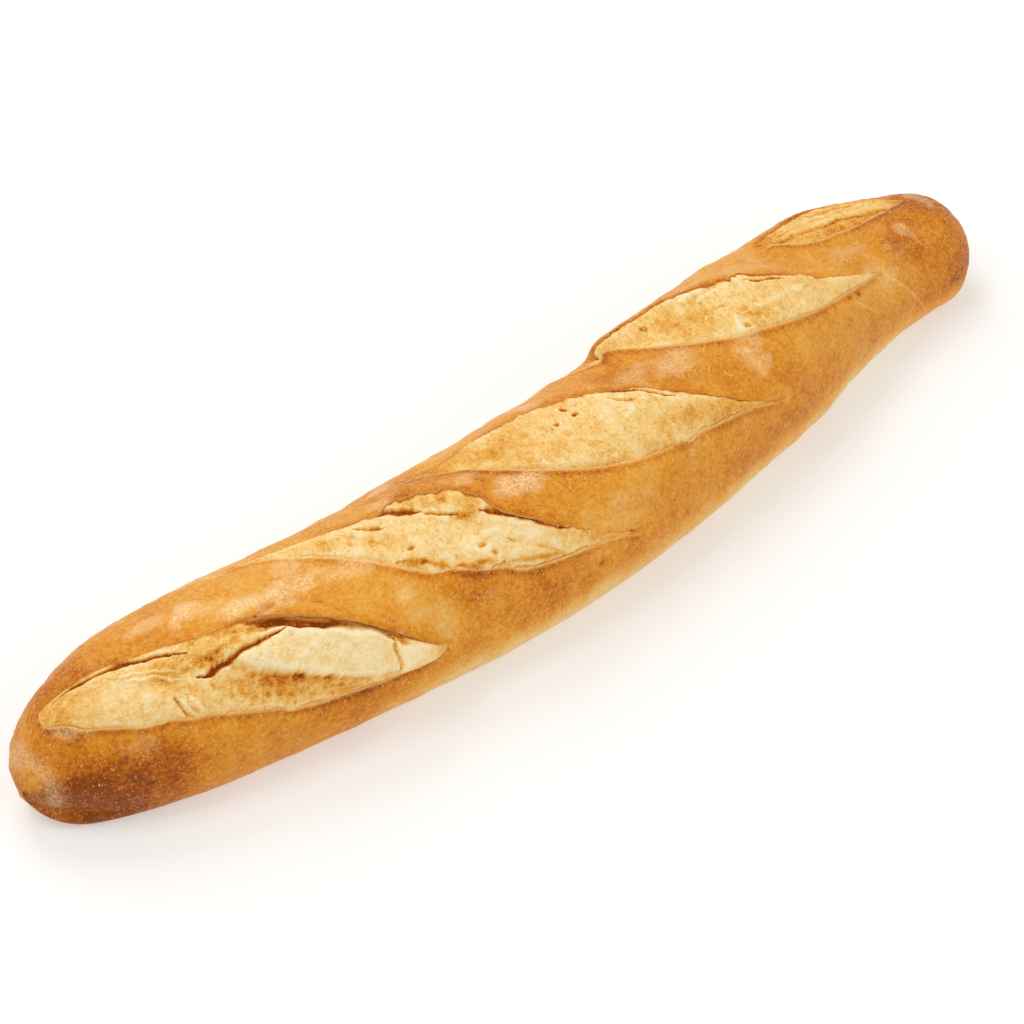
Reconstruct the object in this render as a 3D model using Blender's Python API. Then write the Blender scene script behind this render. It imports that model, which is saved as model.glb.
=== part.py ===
"""Baguette: one long curved loaf with five slashes, resting on its flat base.

Metres, +Z up. The loaf lies along X with its slimmer end at +X. The origin is the middle
of its box, on the surface that it rests on.
"""

from dataclasses import dataclass

import bpy
import numpy as np

# The spine: its length, and how its heading turns along it (radians).
SPINE_LENGTH = 0.480
SPINE_SAMPLES = 801
BEND = 0.94
BEND_SKEW = -0.82
BEND_EASE = -5.36

# Breadth of the loaf at equal steps along the spine, between two fractions of its length.
BREADTH_FROM, BREADTH_TO = 0.06, 0.94
BREADTHS = (0.0785, 0.0737, 0.0766, 0.0808, 0.0793, 0.0814, 0.0705, 0.0575)

# Cross-section: height for its breadth, where it is broadest, and the flat base.
HEIGHT_TO_BREADTH = 0.68
BROADEST_AT = 0.40
BASE_TO_BREADTH = 0.70
FLANK_ANGLE = np.radians(90.0)
BASE_ANGLE = np.radians(140.0)

# Round ends: the length of each, and the power of its superellipse.
NEAR_END, NEAR_POWER = 0.0890, 1.8
FAR_END, FAR_POWER = 0.0340, 2.5
BASE_END = 0.0160

# The near end's nose sags: over what length, and by how much of its height.
NOSE, NOSE_DROOP = 0.050, 0.30

# Facets of the body.
AROUND = 38
END_RINGS, END_SPAN = 8, 0.036
MIDDLE_RINGS = 60

# Slashes: the radius that turns an angle from the crown into a distance over the crust,
# the facets of a cutter, and the heights that it spans.
CRUST_RADIUS = 0.037
ALONG, ACROSS = 28, 8
CUTTER_TOP = 0.014
LEAST_WIDTH = 0.0004
BITE_SLOPE = 0.35
EAR_FADE = 0.010
UNDERCUT = 0.0030
EAR_FROM, EAR_TO = np.radians(96.0), np.radians(124.0)
TIP = 1e-6

# The crumb's floor in a slash: how deep it starts, how fast the groove under each lip
# deepens, the low lip's share of it, and how soon the floor swells behind a tip.
FLOOR_DROP = 0.0012
GROOVE_POWER = 2.4
LOW_GROOVE = 0.45
SWELL_POWER = 0.6

# Steps for a normal: along the spine, and around it (radians).
NORMAL_STEP, NORMAL_TURN = 0.0004, 0.01
LEAST_NORMAL = 1e-12

SHARP_EDGE = np.radians(40.0)

CRUST_COLOR = (0.56, 0.25, 0.065, 1.0)
CRUST_ROUGHNESS = 0.45


def peaked(share, opening, closing):
    """Curve from 0 to 1 and back to 0 over shares 0 to 1."""
    total = opening + closing
    peak = (opening / total) ** opening * (closing / total) ** closing
    return share**opening * (1.0 - share) ** closing / peak


@dataclass(frozen=True)
class Bite:
    """A stretch where a lip tore further out, or less far, than the rest of it."""

    along: float
    half: float
    reach: float

    def at(self, along):
        """Its reach, for 0 to 1 along the slash."""
        share = (1.0 + BITE_SLOPE - np.abs(along - self.along) / self.half) / (2.0 * BITE_SLOPE)
        share = np.clip(share, 0.0, 1.0)
        return self.reach * share**2 * (3.0 - 2.0 * share)


@dataclass(frozen=True)
class Edge:
    """One lip of a slash: its widest reach, how fast it opens and closes, and its bites."""

    reach: float
    opening: float
    closing: float
    bites: tuple = ()

    def at(self, along):
        """Distance of the lip from the line between the tips, for 0 to 1 along it."""
        along = np.clip(along, TIP, 1.0 - TIP)
        curve = self.reach * peaked(along, self.opening, self.closing)
        return np.maximum(curve + sum(bite.at(along) for bite in self.bites), LEAST_WIDTH)


@dataclass(frozen=True)
class Ear:
    """The lip that lifted: its height, where it starts and stops, and how fast it rises."""

    height: float
    start: float
    stop: float
    opening: float = 1.2
    closing: float = 1.2

    def at(self, along):
        """How far it stands up, for 0 to 1 along the slash."""
        share = np.clip((along - self.start) / (self.stop - self.start), 0.0, 1.0)
        return self.height * peaked(share, self.opening, self.closing)


@dataclass(frozen=True)
class Slash:
    """A cut that opened in the oven: a low lip, a lifted ear and a domed crumb between.

    Tips are (distance along the spine, degrees from the crown towards -Y).
    """

    start: tuple
    end: tuple
    low: Edge
    high: Edge
    ear: Ear
    dome: float
    depth: float

    def tips(self):
        """Both tips as distances over the crust."""
        return (
            np.array([self.start[0], np.radians(self.start[1]) * CRUST_RADIUS]),
            np.array([self.end[0], np.radians(self.end[1]) * CRUST_RADIUS]),
        )

    def place(self, along, offset):
        """Spine distance and angle of a point along and across the slash."""
        start, end = self.tips()
        line = end - start
        side = np.array([-line[1], line[0]]) / np.linalg.norm(line)
        spine = start[0] + line[0] * along + side[0] * offset
        round_ = start[1] + line[1] * along + side[1] * offset
        return spine, round_ / CRUST_RADIUS

    def local(self, spine, angle):
        """Fraction along the slash and distance across it of points on the crust."""
        start, end = self.tips()
        line = end - start
        length = np.linalg.norm(line)
        along, across = line / length, np.array([-line[1], line[0]]) / length
        dx, dy = spine - start[0], angle * CRUST_RADIUS - start[1]
        return (dx * along[0] + dy * along[1]) / length, dx * across[0] + dy * across[1]

    def ear_lift(self, spine, angle):
        """How far the crust stands up behind the ear's lip."""
        along, offset = self.local(spine, angle)
        behind = -offset - self.high.at(along)
        return self.ear.at(along) * np.exp(-((behind / EAR_FADE) ** 2))

    def floor(self, along, across):
        """Height of the crumb under or over the crust, for -1 (ear) to 1 (low lip)."""
        side = np.where(across < 0.0, 1.0, LOW_GROOVE)
        groove = self.depth * np.abs(across) ** GROOVE_POWER * side
        swell = np.sin(np.pi * np.clip(along, 0.0, 1.0)) ** SWELL_POWER
        return (self.dome * (1.0 - across**2) - groove) * swell - FLOOR_DROP


SLASHES = (
    Slash((0.0152, -20.0), (0.1455, 80.0),
          Edge(0.0273, 0.47, 0.79, (Bite(0.20, 0.10, 0.0034), Bite(0.50, 0.10, -0.0019))),
          Edge(0.0105, 2.61, 1.74, (Bite(0.30, 0.12, -0.0020),)),
          ear=Ear(0.0042, 0.42, 1.00), dome=0.0008, depth=0.0080),
    Slash((0.0843, -44.0), (0.2267, 78.0), Edge(0.0149, 2.90, 2.15, (Bite(0.60, 0.08, -0.0024),)),
          Edge(0.0106, 2.55, 3.00, (Bite(0.53, 0.10, 0.0065),)),
          ear=Ear(0.0036, 0.25, 0.90), dome=0.0006, depth=0.0070),
    Slash((0.1632, -26.0), (0.3142, 68.0), Edge(0.0119, 2.42, 3.00), Edge(0.0210, 1.57, 2.21),
          ear=Ear(0.0026, 0.12, 0.85, 0.8, 1.2), dome=0.0014, depth=0.0050),
    Slash((0.2598, -39.0), (0.4088, 47.0), Edge(0.0169, 1.38, 1.46), Edge(0.0076, 1.96, 3.00),
          ear=Ear(0.0068, 0.085, 0.95, 0.22, 1.6), dome=0.0010, depth=0.0060),
    Slash((0.3744, -25.0), (0.4541, -11.0), Edge(0.0134, 0.50, 0.82), Edge(0.0120, 2.00, 1.05),
          ear=Ear(0.0046, 0.02, 1.00, 0.35, 1.2), dome=0.0008, depth=0.0050),
)


def monotone(x, stations, values):
    """Smooth curve through the values that never overshoots them."""
    steps = np.diff(stations)
    secants = np.diff(values) / steps
    slopes = np.zeros(len(values))
    slopes[0], slopes[-1] = secants[0], secants[-1]
    for i in range(1, len(values) - 1):
        before, after = secants[i - 1], secants[i]
        if before * after > 0.0:
            slopes[i] = 2.0 * before * after / (before + after)
    i = np.clip(np.searchsorted(stations, x) - 1, 0, len(steps) - 1)
    t = (x - stations[i]) / steps[i]
    return (
        (1.0 + 2.0 * t) * (1.0 - t) ** 2 * values[i]
        + t * (1.0 - t) ** 2 * steps[i] * slopes[i]
        + t**2 * (3.0 - 2.0 * t) * values[i + 1]
        + t**2 * (t - 1.0) * steps[i] * slopes[i + 1]
    )


def spine_curve():
    """Distances along the spine, its points in plan, and its heading at each."""
    share = np.linspace(0.0, 1.0, SPINE_SAMPLES)
    middle = share - 0.5
    heading = BEND * middle + BEND_SKEW * (middle**2 - 1.0 / 12.0) + BEND_EASE * middle**3
    step = SPINE_LENGTH / (SPINE_SAMPLES - 1)
    plan = []
    for slope in (np.cos(heading), np.sin(heading)):
        run = np.concatenate([[0.0], np.cumsum((slope[1:] + slope[:-1]) * 0.5 * step)])
        plan.append(run - run[SPINE_SAMPLES // 2])
    return share * SPINE_LENGTH, plan[0], plan[1], heading


SPINE = spine_curve()


def section(spine):
    """Half breadth, centre height, rise over it and drop under it, along the spine."""
    stations = np.linspace(BREADTH_FROM, BREADTH_TO, len(BREADTHS))
    share = np.clip(spine / SPINE_LENGTH, BREADTH_FROM, BREADTH_TO)
    breadth = monotone(share, stations, np.array(BREADTHS))
    near = np.clip((NEAR_END - spine) / NEAR_END, 0.0, 1.0)
    far = np.clip((spine - SPINE_LENGTH + FAR_END) / FAR_END, 0.0, 1.0)
    closing = (1.0 - near**NEAR_POWER) ** (1.0 / NEAR_POWER)
    closing = closing * (1.0 - far**FAR_POWER) ** (1.0 / FAR_POWER)
    near_base = np.clip((BASE_END - spine) / BASE_END, 0.0, 1.0)
    far_base = np.clip((spine - SPINE_LENGTH + BASE_END) / BASE_END, 0.0, 1.0)
    base = np.sqrt(1.0 - near_base**2) * np.sqrt(1.0 - far_base**2)
    height = HEIGHT_TO_BREADTH * breadth
    droop = 1.0 - NOSE_DROOP * np.clip(1.0 - spine / NOSE, 0.0, 1.0) ** 2
    centre = BROADEST_AT * height * droop
    return breadth / 2.0 * closing, centre, (height - centre) * closing, centre * base


def plain_point(spine, angle):
    """Points of the unslashed loaf, from spine distances and angles from the crown."""
    half, centre, rise, drop = section(spine)
    size, side = np.abs(angle), np.sign(angle)
    foot = BASE_TO_BREADTH * half
    turn = np.clip((size - FLANK_ANGLE) / (BASE_ANGLE - FLANK_ANGLE), 0.0, 1.0) * np.pi / 2.0
    flat = np.clip((np.pi - size) / (np.pi - BASE_ANGLE), 0.0, 1.0)
    over = size < FLANK_ANGLE
    under = foot + (half - foot) * np.cos(turn)
    lateral = np.where(over, half * np.sin(size), np.where(size < BASE_ANGLE, under, foot * flat))
    height = np.where(over, centre + rise * np.cos(size), centre - drop * np.sin(turn))
    distances, east, north, heading = SPINE
    turned = np.interp(spine, distances, heading)
    lateral = lateral * side
    return np.stack(
        [
            np.interp(spine, distances, east) + np.sin(turned) * lateral,
            np.interp(spine, distances, north) - np.cos(turned) * lateral,
            height,
        ],
        axis=-1,
    )


def outward(spine, angle):
    """Unit normals of the unslashed loaf."""
    spine = np.clip(spine, 2.0 * NORMAL_STEP, SPINE_LENGTH - 2.0 * NORMAL_STEP)
    along = plain_point(spine + NORMAL_STEP, angle) - plain_point(spine - NORMAL_STEP, angle)
    around = plain_point(spine, angle + NORMAL_TURN) - plain_point(spine, angle - NORMAL_TURN)
    normal = np.cross(around, along)
    return normal / np.maximum(np.linalg.norm(normal, axis=-1, keepdims=True), LEAST_NORMAL)


def raised_point(spine, angle, height):
    """Points at a height over the unslashed loaf."""
    return plain_point(spine, angle) + outward(spine, angle) * height[..., None]


def ring_distances():
    """Spine distances of the body's rings, closer together towards both ends."""
    turn = np.linspace(0.0, np.pi / 2.0, END_RINGS + 1)
    end = END_SPAN * (1.0 - np.cos(turn))
    middle = np.linspace(END_SPAN, SPINE_LENGTH - END_SPAN, MIDDLE_RINGS + 1)[1:-1]
    return np.concatenate([end[1:], middle, SPINE_LENGTH - end[1:][::-1]])


def closed_grid(name, rings, first_pole=None, last_pole=None):
    """Closed mesh of rings of points, with a pole or a flat cap at each end."""
    count, around = rings.shape[:2]
    points = [tuple(p) for p in rings.reshape(-1, 3)]
    faces = []
    for i in range(count - 1):
        for j in range(around):
            a, b = i * around + j, i * around + (j + 1) % around
            faces.append((a, a + around, b + around, b))
    last = (count - 1) * around
    if first_pole is None:
        faces.append(tuple(range(around)))
        faces.append(tuple(reversed(range(last, last + around))))
    else:
        pole = len(points)
        points += [tuple(first_pole), tuple(last_pole)]
        for j in range(around):
            k = (j + 1) % around
            faces.append((pole, j, k))
            faces.append((pole + 1, last + k, last + j))
    mesh = bpy.data.meshes.new(name)
    mesh.from_pydata(points, [], faces)
    mesh.validate()
    return mesh


def make_body(name):
    """The loaf before it is slashed, with its crust lifted behind each ear."""
    distances = ring_distances()
    angles = np.linspace(-np.pi, np.pi, AROUND, endpoint=False)
    spine, angle = np.meshgrid(distances, angles, indexing="ij")
    lift = sum(slash.ear_lift(spine, angle) for slash in SLASHES)
    fade = np.clip((EAR_TO - np.abs(angle)) / (EAR_TO - EAR_FROM), 0.0, 1.0)
    ends = np.clip(np.minimum(spine, SPINE_LENGTH - spine) / END_SPAN, 0.0, 1.0)
    rings = raised_point(spine, angle, lift * fade * ends)
    near, far = plain_point(np.array([0.0, SPINE_LENGTH]), np.zeros(2))
    return closed_grid(name, rings, near, far)


def make_cutter(name, slash):
    """The wedge of air over a slash: its underside is the domed crumb."""
    along = (1.0 - np.cos(np.linspace(0.0, np.pi, ALONG))) / 2.0
    low, high = slash.low.at(along), -slash.high.at(along)
    deep_high = high - UNDERCUT * np.sin(np.pi * along)
    offsets, heights = [high], [np.full(ALONG, CUTTER_TOP)]
    for across in np.linspace(-1.0, 1.0, ACROSS):
        mix = (across + 1.0) / 2.0
        offsets.append(deep_high * (1.0 - mix) + low * mix)
        heights.append(slash.floor(along, across))
    offsets.append(low)
    heights.append(np.full(ALONG, CUTTER_TOP))
    offset, height = np.stack(offsets, axis=1), np.stack(heights, axis=1)
    spine, angle = slash.place(along[:, None], offset)
    return closed_grid(name, raised_point(spine, angle, height))


def crust_material():
    """Golden-brown crust."""
    material = bpy.data.materials.new("crust")
    material.use_nodes = True
    shader = material.node_tree.nodes["Principled BSDF"]
    shader.inputs["Base Color"].default_value = CRUST_COLOR
    shader.inputs["Roughness"].default_value = CRUST_ROUGHNESS
    shader.inputs["Metallic"].default_value = 0.0
    return material


def main():
    """Build the loaf and cut its slashes."""
    for obj in list(bpy.data.objects):
        bpy.data.objects.remove(obj, do_unlink=True)
    body = make_body("loaf")
    points = np.array([v.co for v in body.vertices])
    centre = (points.min(axis=0) + points.max(axis=0)) / 2.0
    to_origin = np.array([centre[0], centre[1], 0.0])
    loaf = bpy.data.objects.new("loaf", body)
    bpy.context.collection.objects.link(loaf)
    body.materials.append(crust_material())
    meshes = [body]
    for index, slash in enumerate(SLASHES, start=1):
        mesh = make_cutter(f"slash_cutter_{index}", slash)
        meshes.append(mesh)
        cutter = bpy.data.objects.new(mesh.name, mesh)
        bpy.context.collection.objects.link(cutter)
        cutter.hide_render = True
        cutter.display_type = "WIRE"
        cut = loaf.modifiers.new(f"slash_{index}", "BOOLEAN")
        cut.operation = "DIFFERENCE"
        cut.solver = "EXACT"
        cut.object = cutter
    for mesh in meshes:
        for vertex in mesh.vertices:
            vertex.co = np.array(vertex.co) - to_origin
        mesh.update()
    body.shade_smooth()
    body.set_sharp_from_angle(angle=SHARP_EDGE)


main()
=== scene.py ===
"""Baguette: its crust, slashes, crumb and finishes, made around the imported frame."""

import logging
from dataclasses import dataclass
from enum import Enum
from typing import Any

import bmesh
import bpy
import numpy as np
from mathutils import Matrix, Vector


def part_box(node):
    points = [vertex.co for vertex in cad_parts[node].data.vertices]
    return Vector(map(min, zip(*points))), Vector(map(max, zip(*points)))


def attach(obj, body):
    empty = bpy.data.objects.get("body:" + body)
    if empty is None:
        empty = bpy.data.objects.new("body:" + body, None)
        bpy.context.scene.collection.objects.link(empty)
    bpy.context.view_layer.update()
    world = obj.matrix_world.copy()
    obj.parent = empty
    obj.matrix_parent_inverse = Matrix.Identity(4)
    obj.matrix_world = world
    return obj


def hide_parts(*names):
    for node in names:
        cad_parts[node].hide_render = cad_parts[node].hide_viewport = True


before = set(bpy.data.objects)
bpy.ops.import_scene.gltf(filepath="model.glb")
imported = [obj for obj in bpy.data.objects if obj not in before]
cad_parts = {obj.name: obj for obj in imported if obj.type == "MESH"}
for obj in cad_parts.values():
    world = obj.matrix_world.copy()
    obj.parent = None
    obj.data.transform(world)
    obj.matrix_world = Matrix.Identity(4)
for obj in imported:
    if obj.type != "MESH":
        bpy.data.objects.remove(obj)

log = logging.getLogger("baguette")

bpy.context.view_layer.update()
BODY = "root"
MM = 0.001


class Slot(Enum):
    """The record's material slots."""

    CRUST = "crust"
    CRUMB = "crumb"


def steps(value: np.ndarray, low: float, high: float) -> np.ndarray:
    """Smooth step from 0 at low to 1 at high, which may be the smaller one."""
    t = np.clip((value - low) / (high - low), 0.0, 1.0)
    return t * t * (3.0 - 2.0 * t)


def hump(value: np.ndarray, centre: float, breadth: float) -> np.ndarray:
    """Bell of height 1 about a centre."""
    return np.exp(-(((value - centre) / breadth) ** 2))


def linear(red: float, green: float, blue: float) -> tuple[float, float, float, float]:
    """Linear colour with full alpha from 8-bit display values."""
    def channel(value: float) -> float:
        """One display value made linear."""
        share = value / 255.0
        return share / 12.92 if share <= 0.04045 else ((share + 0.055) / 1.055) ** 2.4

    return channel(red), channel(green), channel(blue), 1.0


def tried(value: float) -> float:
    """A pitch or a density, returned unchanged."""
    return value * 1.0


class Grain:
    """Smooth random fields over points, from a hash of whole-number corners."""

    @staticmethod
    def hashed(cells: np.ndarray, seed: int) -> np.ndarray:
        """A number from 0 to 1 for each row of three whole numbers."""
        x, y, z = (cells[..., i].astype(np.int64) for i in range(3))
        mixed = (x * 374761393 + y * 668265263 + z * 1440662683 + seed * 1274126177) & 0xFFFFFFFF
        mixed = ((mixed ^ (mixed >> 13)) * 1274126177) & 0xFFFFFFFF
        mixed = ((mixed ^ (mixed >> 15)) * 2246822519) & 0xFFFFFFFF
        return ((mixed ^ (mixed >> 16)) & 0xFFFFFF) / float(0xFFFFFF)

    @classmethod
    def smooth(cls, points: np.ndarray, scale: float, seed: int) -> np.ndarray:
        """Value noise from -1 to 1 with features of the given size."""
        place = points / scale
        corner = np.floor(place)
        t = place - corner
        t = t * t * t * (t * (t * 6.0 - 15.0) + 10.0)
        total = np.zeros(points.shape[:-1])
        for dx in (0, 1):
            for dy in (0, 1):
                for dz in (0, 1):
                    offset = np.array([dx, dy, dz])
                    share = np.prod(np.where(offset == 1, t, 1.0 - t), axis=-1)
                    total += share * cls.hashed(corner + offset, seed)
        return total * 2.0 - 1.0

    @classmethod
    def layered(cls, points: np.ndarray, scale: float, seed: int, octaves: int = 3) -> np.ndarray:
        """Several octaves of smooth noise, each half the size and half the height."""
        apart = 17.3
        total, height, whole = np.zeros(points.shape[:-1]), 1.0, 0.0
        for octave in range(octaves):
            total += cls.smooth(points + apart * octave * scale, scale, seed + octave) * height
            whole += height
            scale, height = scale * 0.5, height * 0.5
        return total / whole

    @classmethod
    def cells(cls, points: np.ndarray, scale: float, seed: int) -> tuple[np.ndarray, np.ndarray]:
        """Distance to the nearest random centre, in cell sizes, and that centre's own number."""
        place = points / scale
        corner = np.floor(place)
        flat = bool(np.ptp(points[..., 2]) == 0.0)
        nearest = np.full(points.shape[:-1], 9.0)
        own = np.zeros(points.shape[:-1])
        for dx in (-1, 0, 1):
            for dy in (-1, 0, 1):
                for dz in (0,) if flat else (-1, 0, 1):
                    cell = corner + np.array([dx, dy, dz])
                    jitter = np.stack([cls.hashed(cell, seed + k) for k in range(3)], axis=-1)
                    if flat:
                        jitter[..., 2] = 0.0
                    distance = np.linalg.norm(cell + jitter - place, axis=-1)
                    closer = distance < nearest
                    nearest = np.where(closer, distance, nearest)
                    own = np.where(closer, cls.hashed(cell, seed + 7), own)
        return nearest, own


def plane(first: np.ndarray, second: np.ndarray) -> np.ndarray:
    """Points of a flat field from two coordinates."""
    first, second = np.broadcast_arrays(first, second)
    return np.stack([first, second, np.zeros_like(first)], axis=-1)


@dataclass(frozen=True)
class LoafForm:
    """The unslashed loaf: a bent spine and a section with a flat base. Metres."""

    spine_length: float = 0.480
    bend: float = 0.94
    bend_skew: float = -0.82
    bend_ease: float = -5.36
    breadth_from: float = 0.06
    breadth_to: float = 0.94
    breadths: tuple[float, ...] = (0.0785, 0.0737, 0.0766, 0.0808, 0.0793, 0.0814, 0.0705, 0.0575)
    height_to_breadth: float = 0.68
    broadest_at: float = 0.40
    base_to_breadth: float = 0.70
    flank_angle: float = np.radians(90.0)
    base_angle: float = np.radians(140.0)
    near_end: float = 0.0890
    near_power: float = 1.8
    far_end: float = 0.0340
    far_power: float = 2.5
    base_end: float = 0.0160
    nose: float = 0.050
    nose_droop: float = 0.30
    samples: int = 801
    least: float = 0.0001

    def breadth(self, spine: np.ndarray) -> np.ndarray:
        """Breadth of the loaf before its ends close, on a curve that never overshoots."""
        stations = np.linspace(self.breadth_from, self.breadth_to, len(self.breadths))
        values = np.array(self.breadths)
        gaps = np.diff(stations)
        secants = np.diff(values) / gaps
        slopes = np.concatenate([[secants[0]], np.zeros(len(values) - 2), [secants[-1]]])
        for i in range(1, len(values) - 1):
            before, after = secants[i - 1], secants[i]
            if before * after > 0.0:
                slopes[i] = 2.0 * before * after / (before + after)
        share = np.clip(spine / self.spine_length, self.breadth_from, self.breadth_to)
        i = np.clip(np.searchsorted(stations, share) - 1, 0, len(gaps) - 1)
        t = (share - stations[i]) / gaps[i]
        return (
            (1.0 + 2.0 * t) * (1.0 - t) ** 2 * values[i]
            + t * (1.0 - t) ** 2 * gaps[i] * slopes[i]
            + t**2 * (3.0 - 2.0 * t) * values[i + 1]
            + t**2 * (t - 1.0) * gaps[i] * slopes[i + 1]
        )

    def curve(self) -> tuple[np.ndarray, np.ndarray, np.ndarray, np.ndarray]:
        """Distances along the spine, its points in plan, and its heading at each."""
        share = np.linspace(0.0, 1.0, self.samples)
        middle = share - 0.5
        heading = self.bend * middle + self.bend_skew * (middle**2 - 1.0 / 12.0)
        heading = heading + self.bend_ease * middle**3
        step = self.spine_length / (self.samples - 1)
        plan = []
        for slope in (np.cos(heading), np.sin(heading)):
            run = np.concatenate([[0.0], np.cumsum((slope[1:] + slope[:-1]) * 0.5 * step)])
            plan.append(run - run[self.samples // 2])
        return share * self.spine_length, plan[0], plan[1], heading

    def section(self, spine: np.ndarray) -> tuple[np.ndarray, ...]:
        """Half breadth, centre height, rise over it and drop under it."""
        near = np.clip((self.near_end - spine) / self.near_end, 0.0, 1.0)
        far = np.clip((spine - self.spine_length + self.far_end) / self.far_end, 0.0, 1.0)
        closing = (1.0 - near**self.near_power) ** (1.0 / self.near_power)
        closing = closing * (1.0 - far**self.far_power) ** (1.0 / self.far_power)
        near_base = np.clip((self.base_end - spine) / self.base_end, 0.0, 1.0)
        far_base = (spine - self.spine_length + self.base_end) / self.base_end
        base = np.sqrt(1.0 - near_base**2) * np.sqrt(1.0 - np.clip(far_base, 0.0, 1.0) ** 2)
        breadth = self.breadth(spine)
        height = self.height_to_breadth * breadth
        droop = 1.0 - self.nose_droop * np.clip(1.0 - spine / self.nose, 0.0, 1.0) ** 2
        centre = self.broadest_at * height * droop
        return breadth / 2.0 * closing, centre, (height - centre) * closing, centre * base

    def point(self, spine: np.ndarray, angle: np.ndarray) -> np.ndarray:
        """Points at distances along the spine and angles from the crown towards -Y."""
        spine, angle = np.broadcast_arrays(spine, angle)
        half, centre, rise, drop = self.section(spine)
        size = np.abs(angle)
        foot = self.base_to_breadth * half
        turn = (size - self.flank_angle) / (self.base_angle - self.flank_angle)
        turn = np.clip(turn, 0.0, 1.0) * np.pi / 2.0
        flat = np.clip((np.pi - size) / (np.pi - self.base_angle), 0.0, 1.0)
        over = size < self.flank_angle
        under = foot + (half - foot) * np.cos(turn)
        reach = np.where(size < self.base_angle, under, foot * flat)
        lateral = np.where(over, half * np.sin(size), reach) * np.sign(angle)
        height = np.where(over, centre + rise * np.cos(size), centre - drop * np.sin(turn))
        distances, east, north, heading = self.curve()
        turned = np.interp(spine, distances, heading)
        x = np.interp(spine, distances, east) + np.sin(turned) * lateral
        y = np.interp(spine, distances, north) - np.cos(turned) * lateral
        return np.stack([x, y, height], axis=-1)

    def normal(self, spine: np.ndarray, angle: np.ndarray) -> np.ndarray:
        """Unit normals of the loaf, pointing out."""
        step, turn = 0.4 * MM, 0.01
        spine = np.clip(spine, 2.0 * step, self.spine_length - 2.0 * step)
        along = self.point(spine + step, angle) - self.point(spine - step, angle)
        around = self.point(spine, angle + turn) - self.point(spine, angle - turn)
        normal = np.cross(around, along)
        return normal / np.maximum(np.linalg.norm(normal, axis=-1, keepdims=True), 1e-12)

    def raised(self, spine: np.ndarray, angle: np.ndarray, height: np.ndarray) -> np.ndarray:
        """Points at a height over the loaf."""
        spine, angle, height = np.broadcast_arrays(spine, angle, height)
        return self.point(spine, angle) + self.normal(spine, angle) * height[..., None]

    def unrolled(self, points: np.ndarray) -> tuple[np.ndarray, np.ndarray]:
        """Distance along the spine and angle from the crown of points near the loaf."""
        batch, stride, rounds = 20000, 8, 3
        distances, east, north, heading = self.curve()
        nearest = np.zeros(len(points), dtype=int)
        for start in range(0, len(points), batch):
            part = points[start:start + batch]
            gap = (part[:, 0, None] - east[None, ::stride]) ** 2
            gap = gap + (part[:, 1, None] - north[None, ::stride]) ** 2
            nearest[start:start + batch] = np.argmin(gap, axis=1) * stride
        spine = distances[nearest]
        for _ in range(rounds):
            turned = np.interp(spine, distances, heading)
            dx = points[:, 0] - np.interp(spine, distances, east)
            dy = points[:, 1] - np.interp(spine, distances, north)
            spine = np.clip(spine + dx * np.cos(turned) + dy * np.sin(turned), 0.0, self.spine_length)
        turned = np.interp(spine, distances, heading)
        dx = points[:, 0] - np.interp(spine, distances, east)
        dy = points[:, 1] - np.interp(spine, distances, north)
        lateral = dx * np.sin(turned) - dy * np.cos(turned)
        half, centre, rise, drop = self.section(spine)
        height = points[:, 2] - centre
        half = np.maximum(half, self.least)
        over = np.arctan2(lateral / half, np.maximum(height, 0.0) / np.maximum(rise, self.least))
        down = np.clip(-height / np.maximum(drop, self.least), 0.0, 1.0)
        under = self.flank_angle + np.arcsin(down) / (np.pi / 2.0) * (self.base_angle - self.flank_angle)
        return spine, np.where(height >= 0.0, over, np.sign(lateral) * under)


def peaked(share: np.ndarray, opening: float, closing: float) -> np.ndarray:
    """Curve from 0 to 1 and back to 0 over shares 0 to 1."""
    total = opening + closing
    peak = (opening / total) ** opening * (closing / total) ** closing
    return share**opening * (1.0 - share) ** closing / peak


@dataclass(frozen=True)
class Bite:
    """A stretch where a lip tore further out, or less far, than the rest of it.

    Its place and half length are shares of the slash's length, and its reach is in metres.
    """

    along: float
    half: float
    reach: float
    slope: float = 0.35

    def at(self, along: np.ndarray) -> np.ndarray:
        """Its reach, for 0 to 1 along the slash."""
        away = np.abs(along - self.along) / self.half
        return self.reach * steps(away, 1.0 + self.slope, 1.0 - self.slope)


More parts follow.
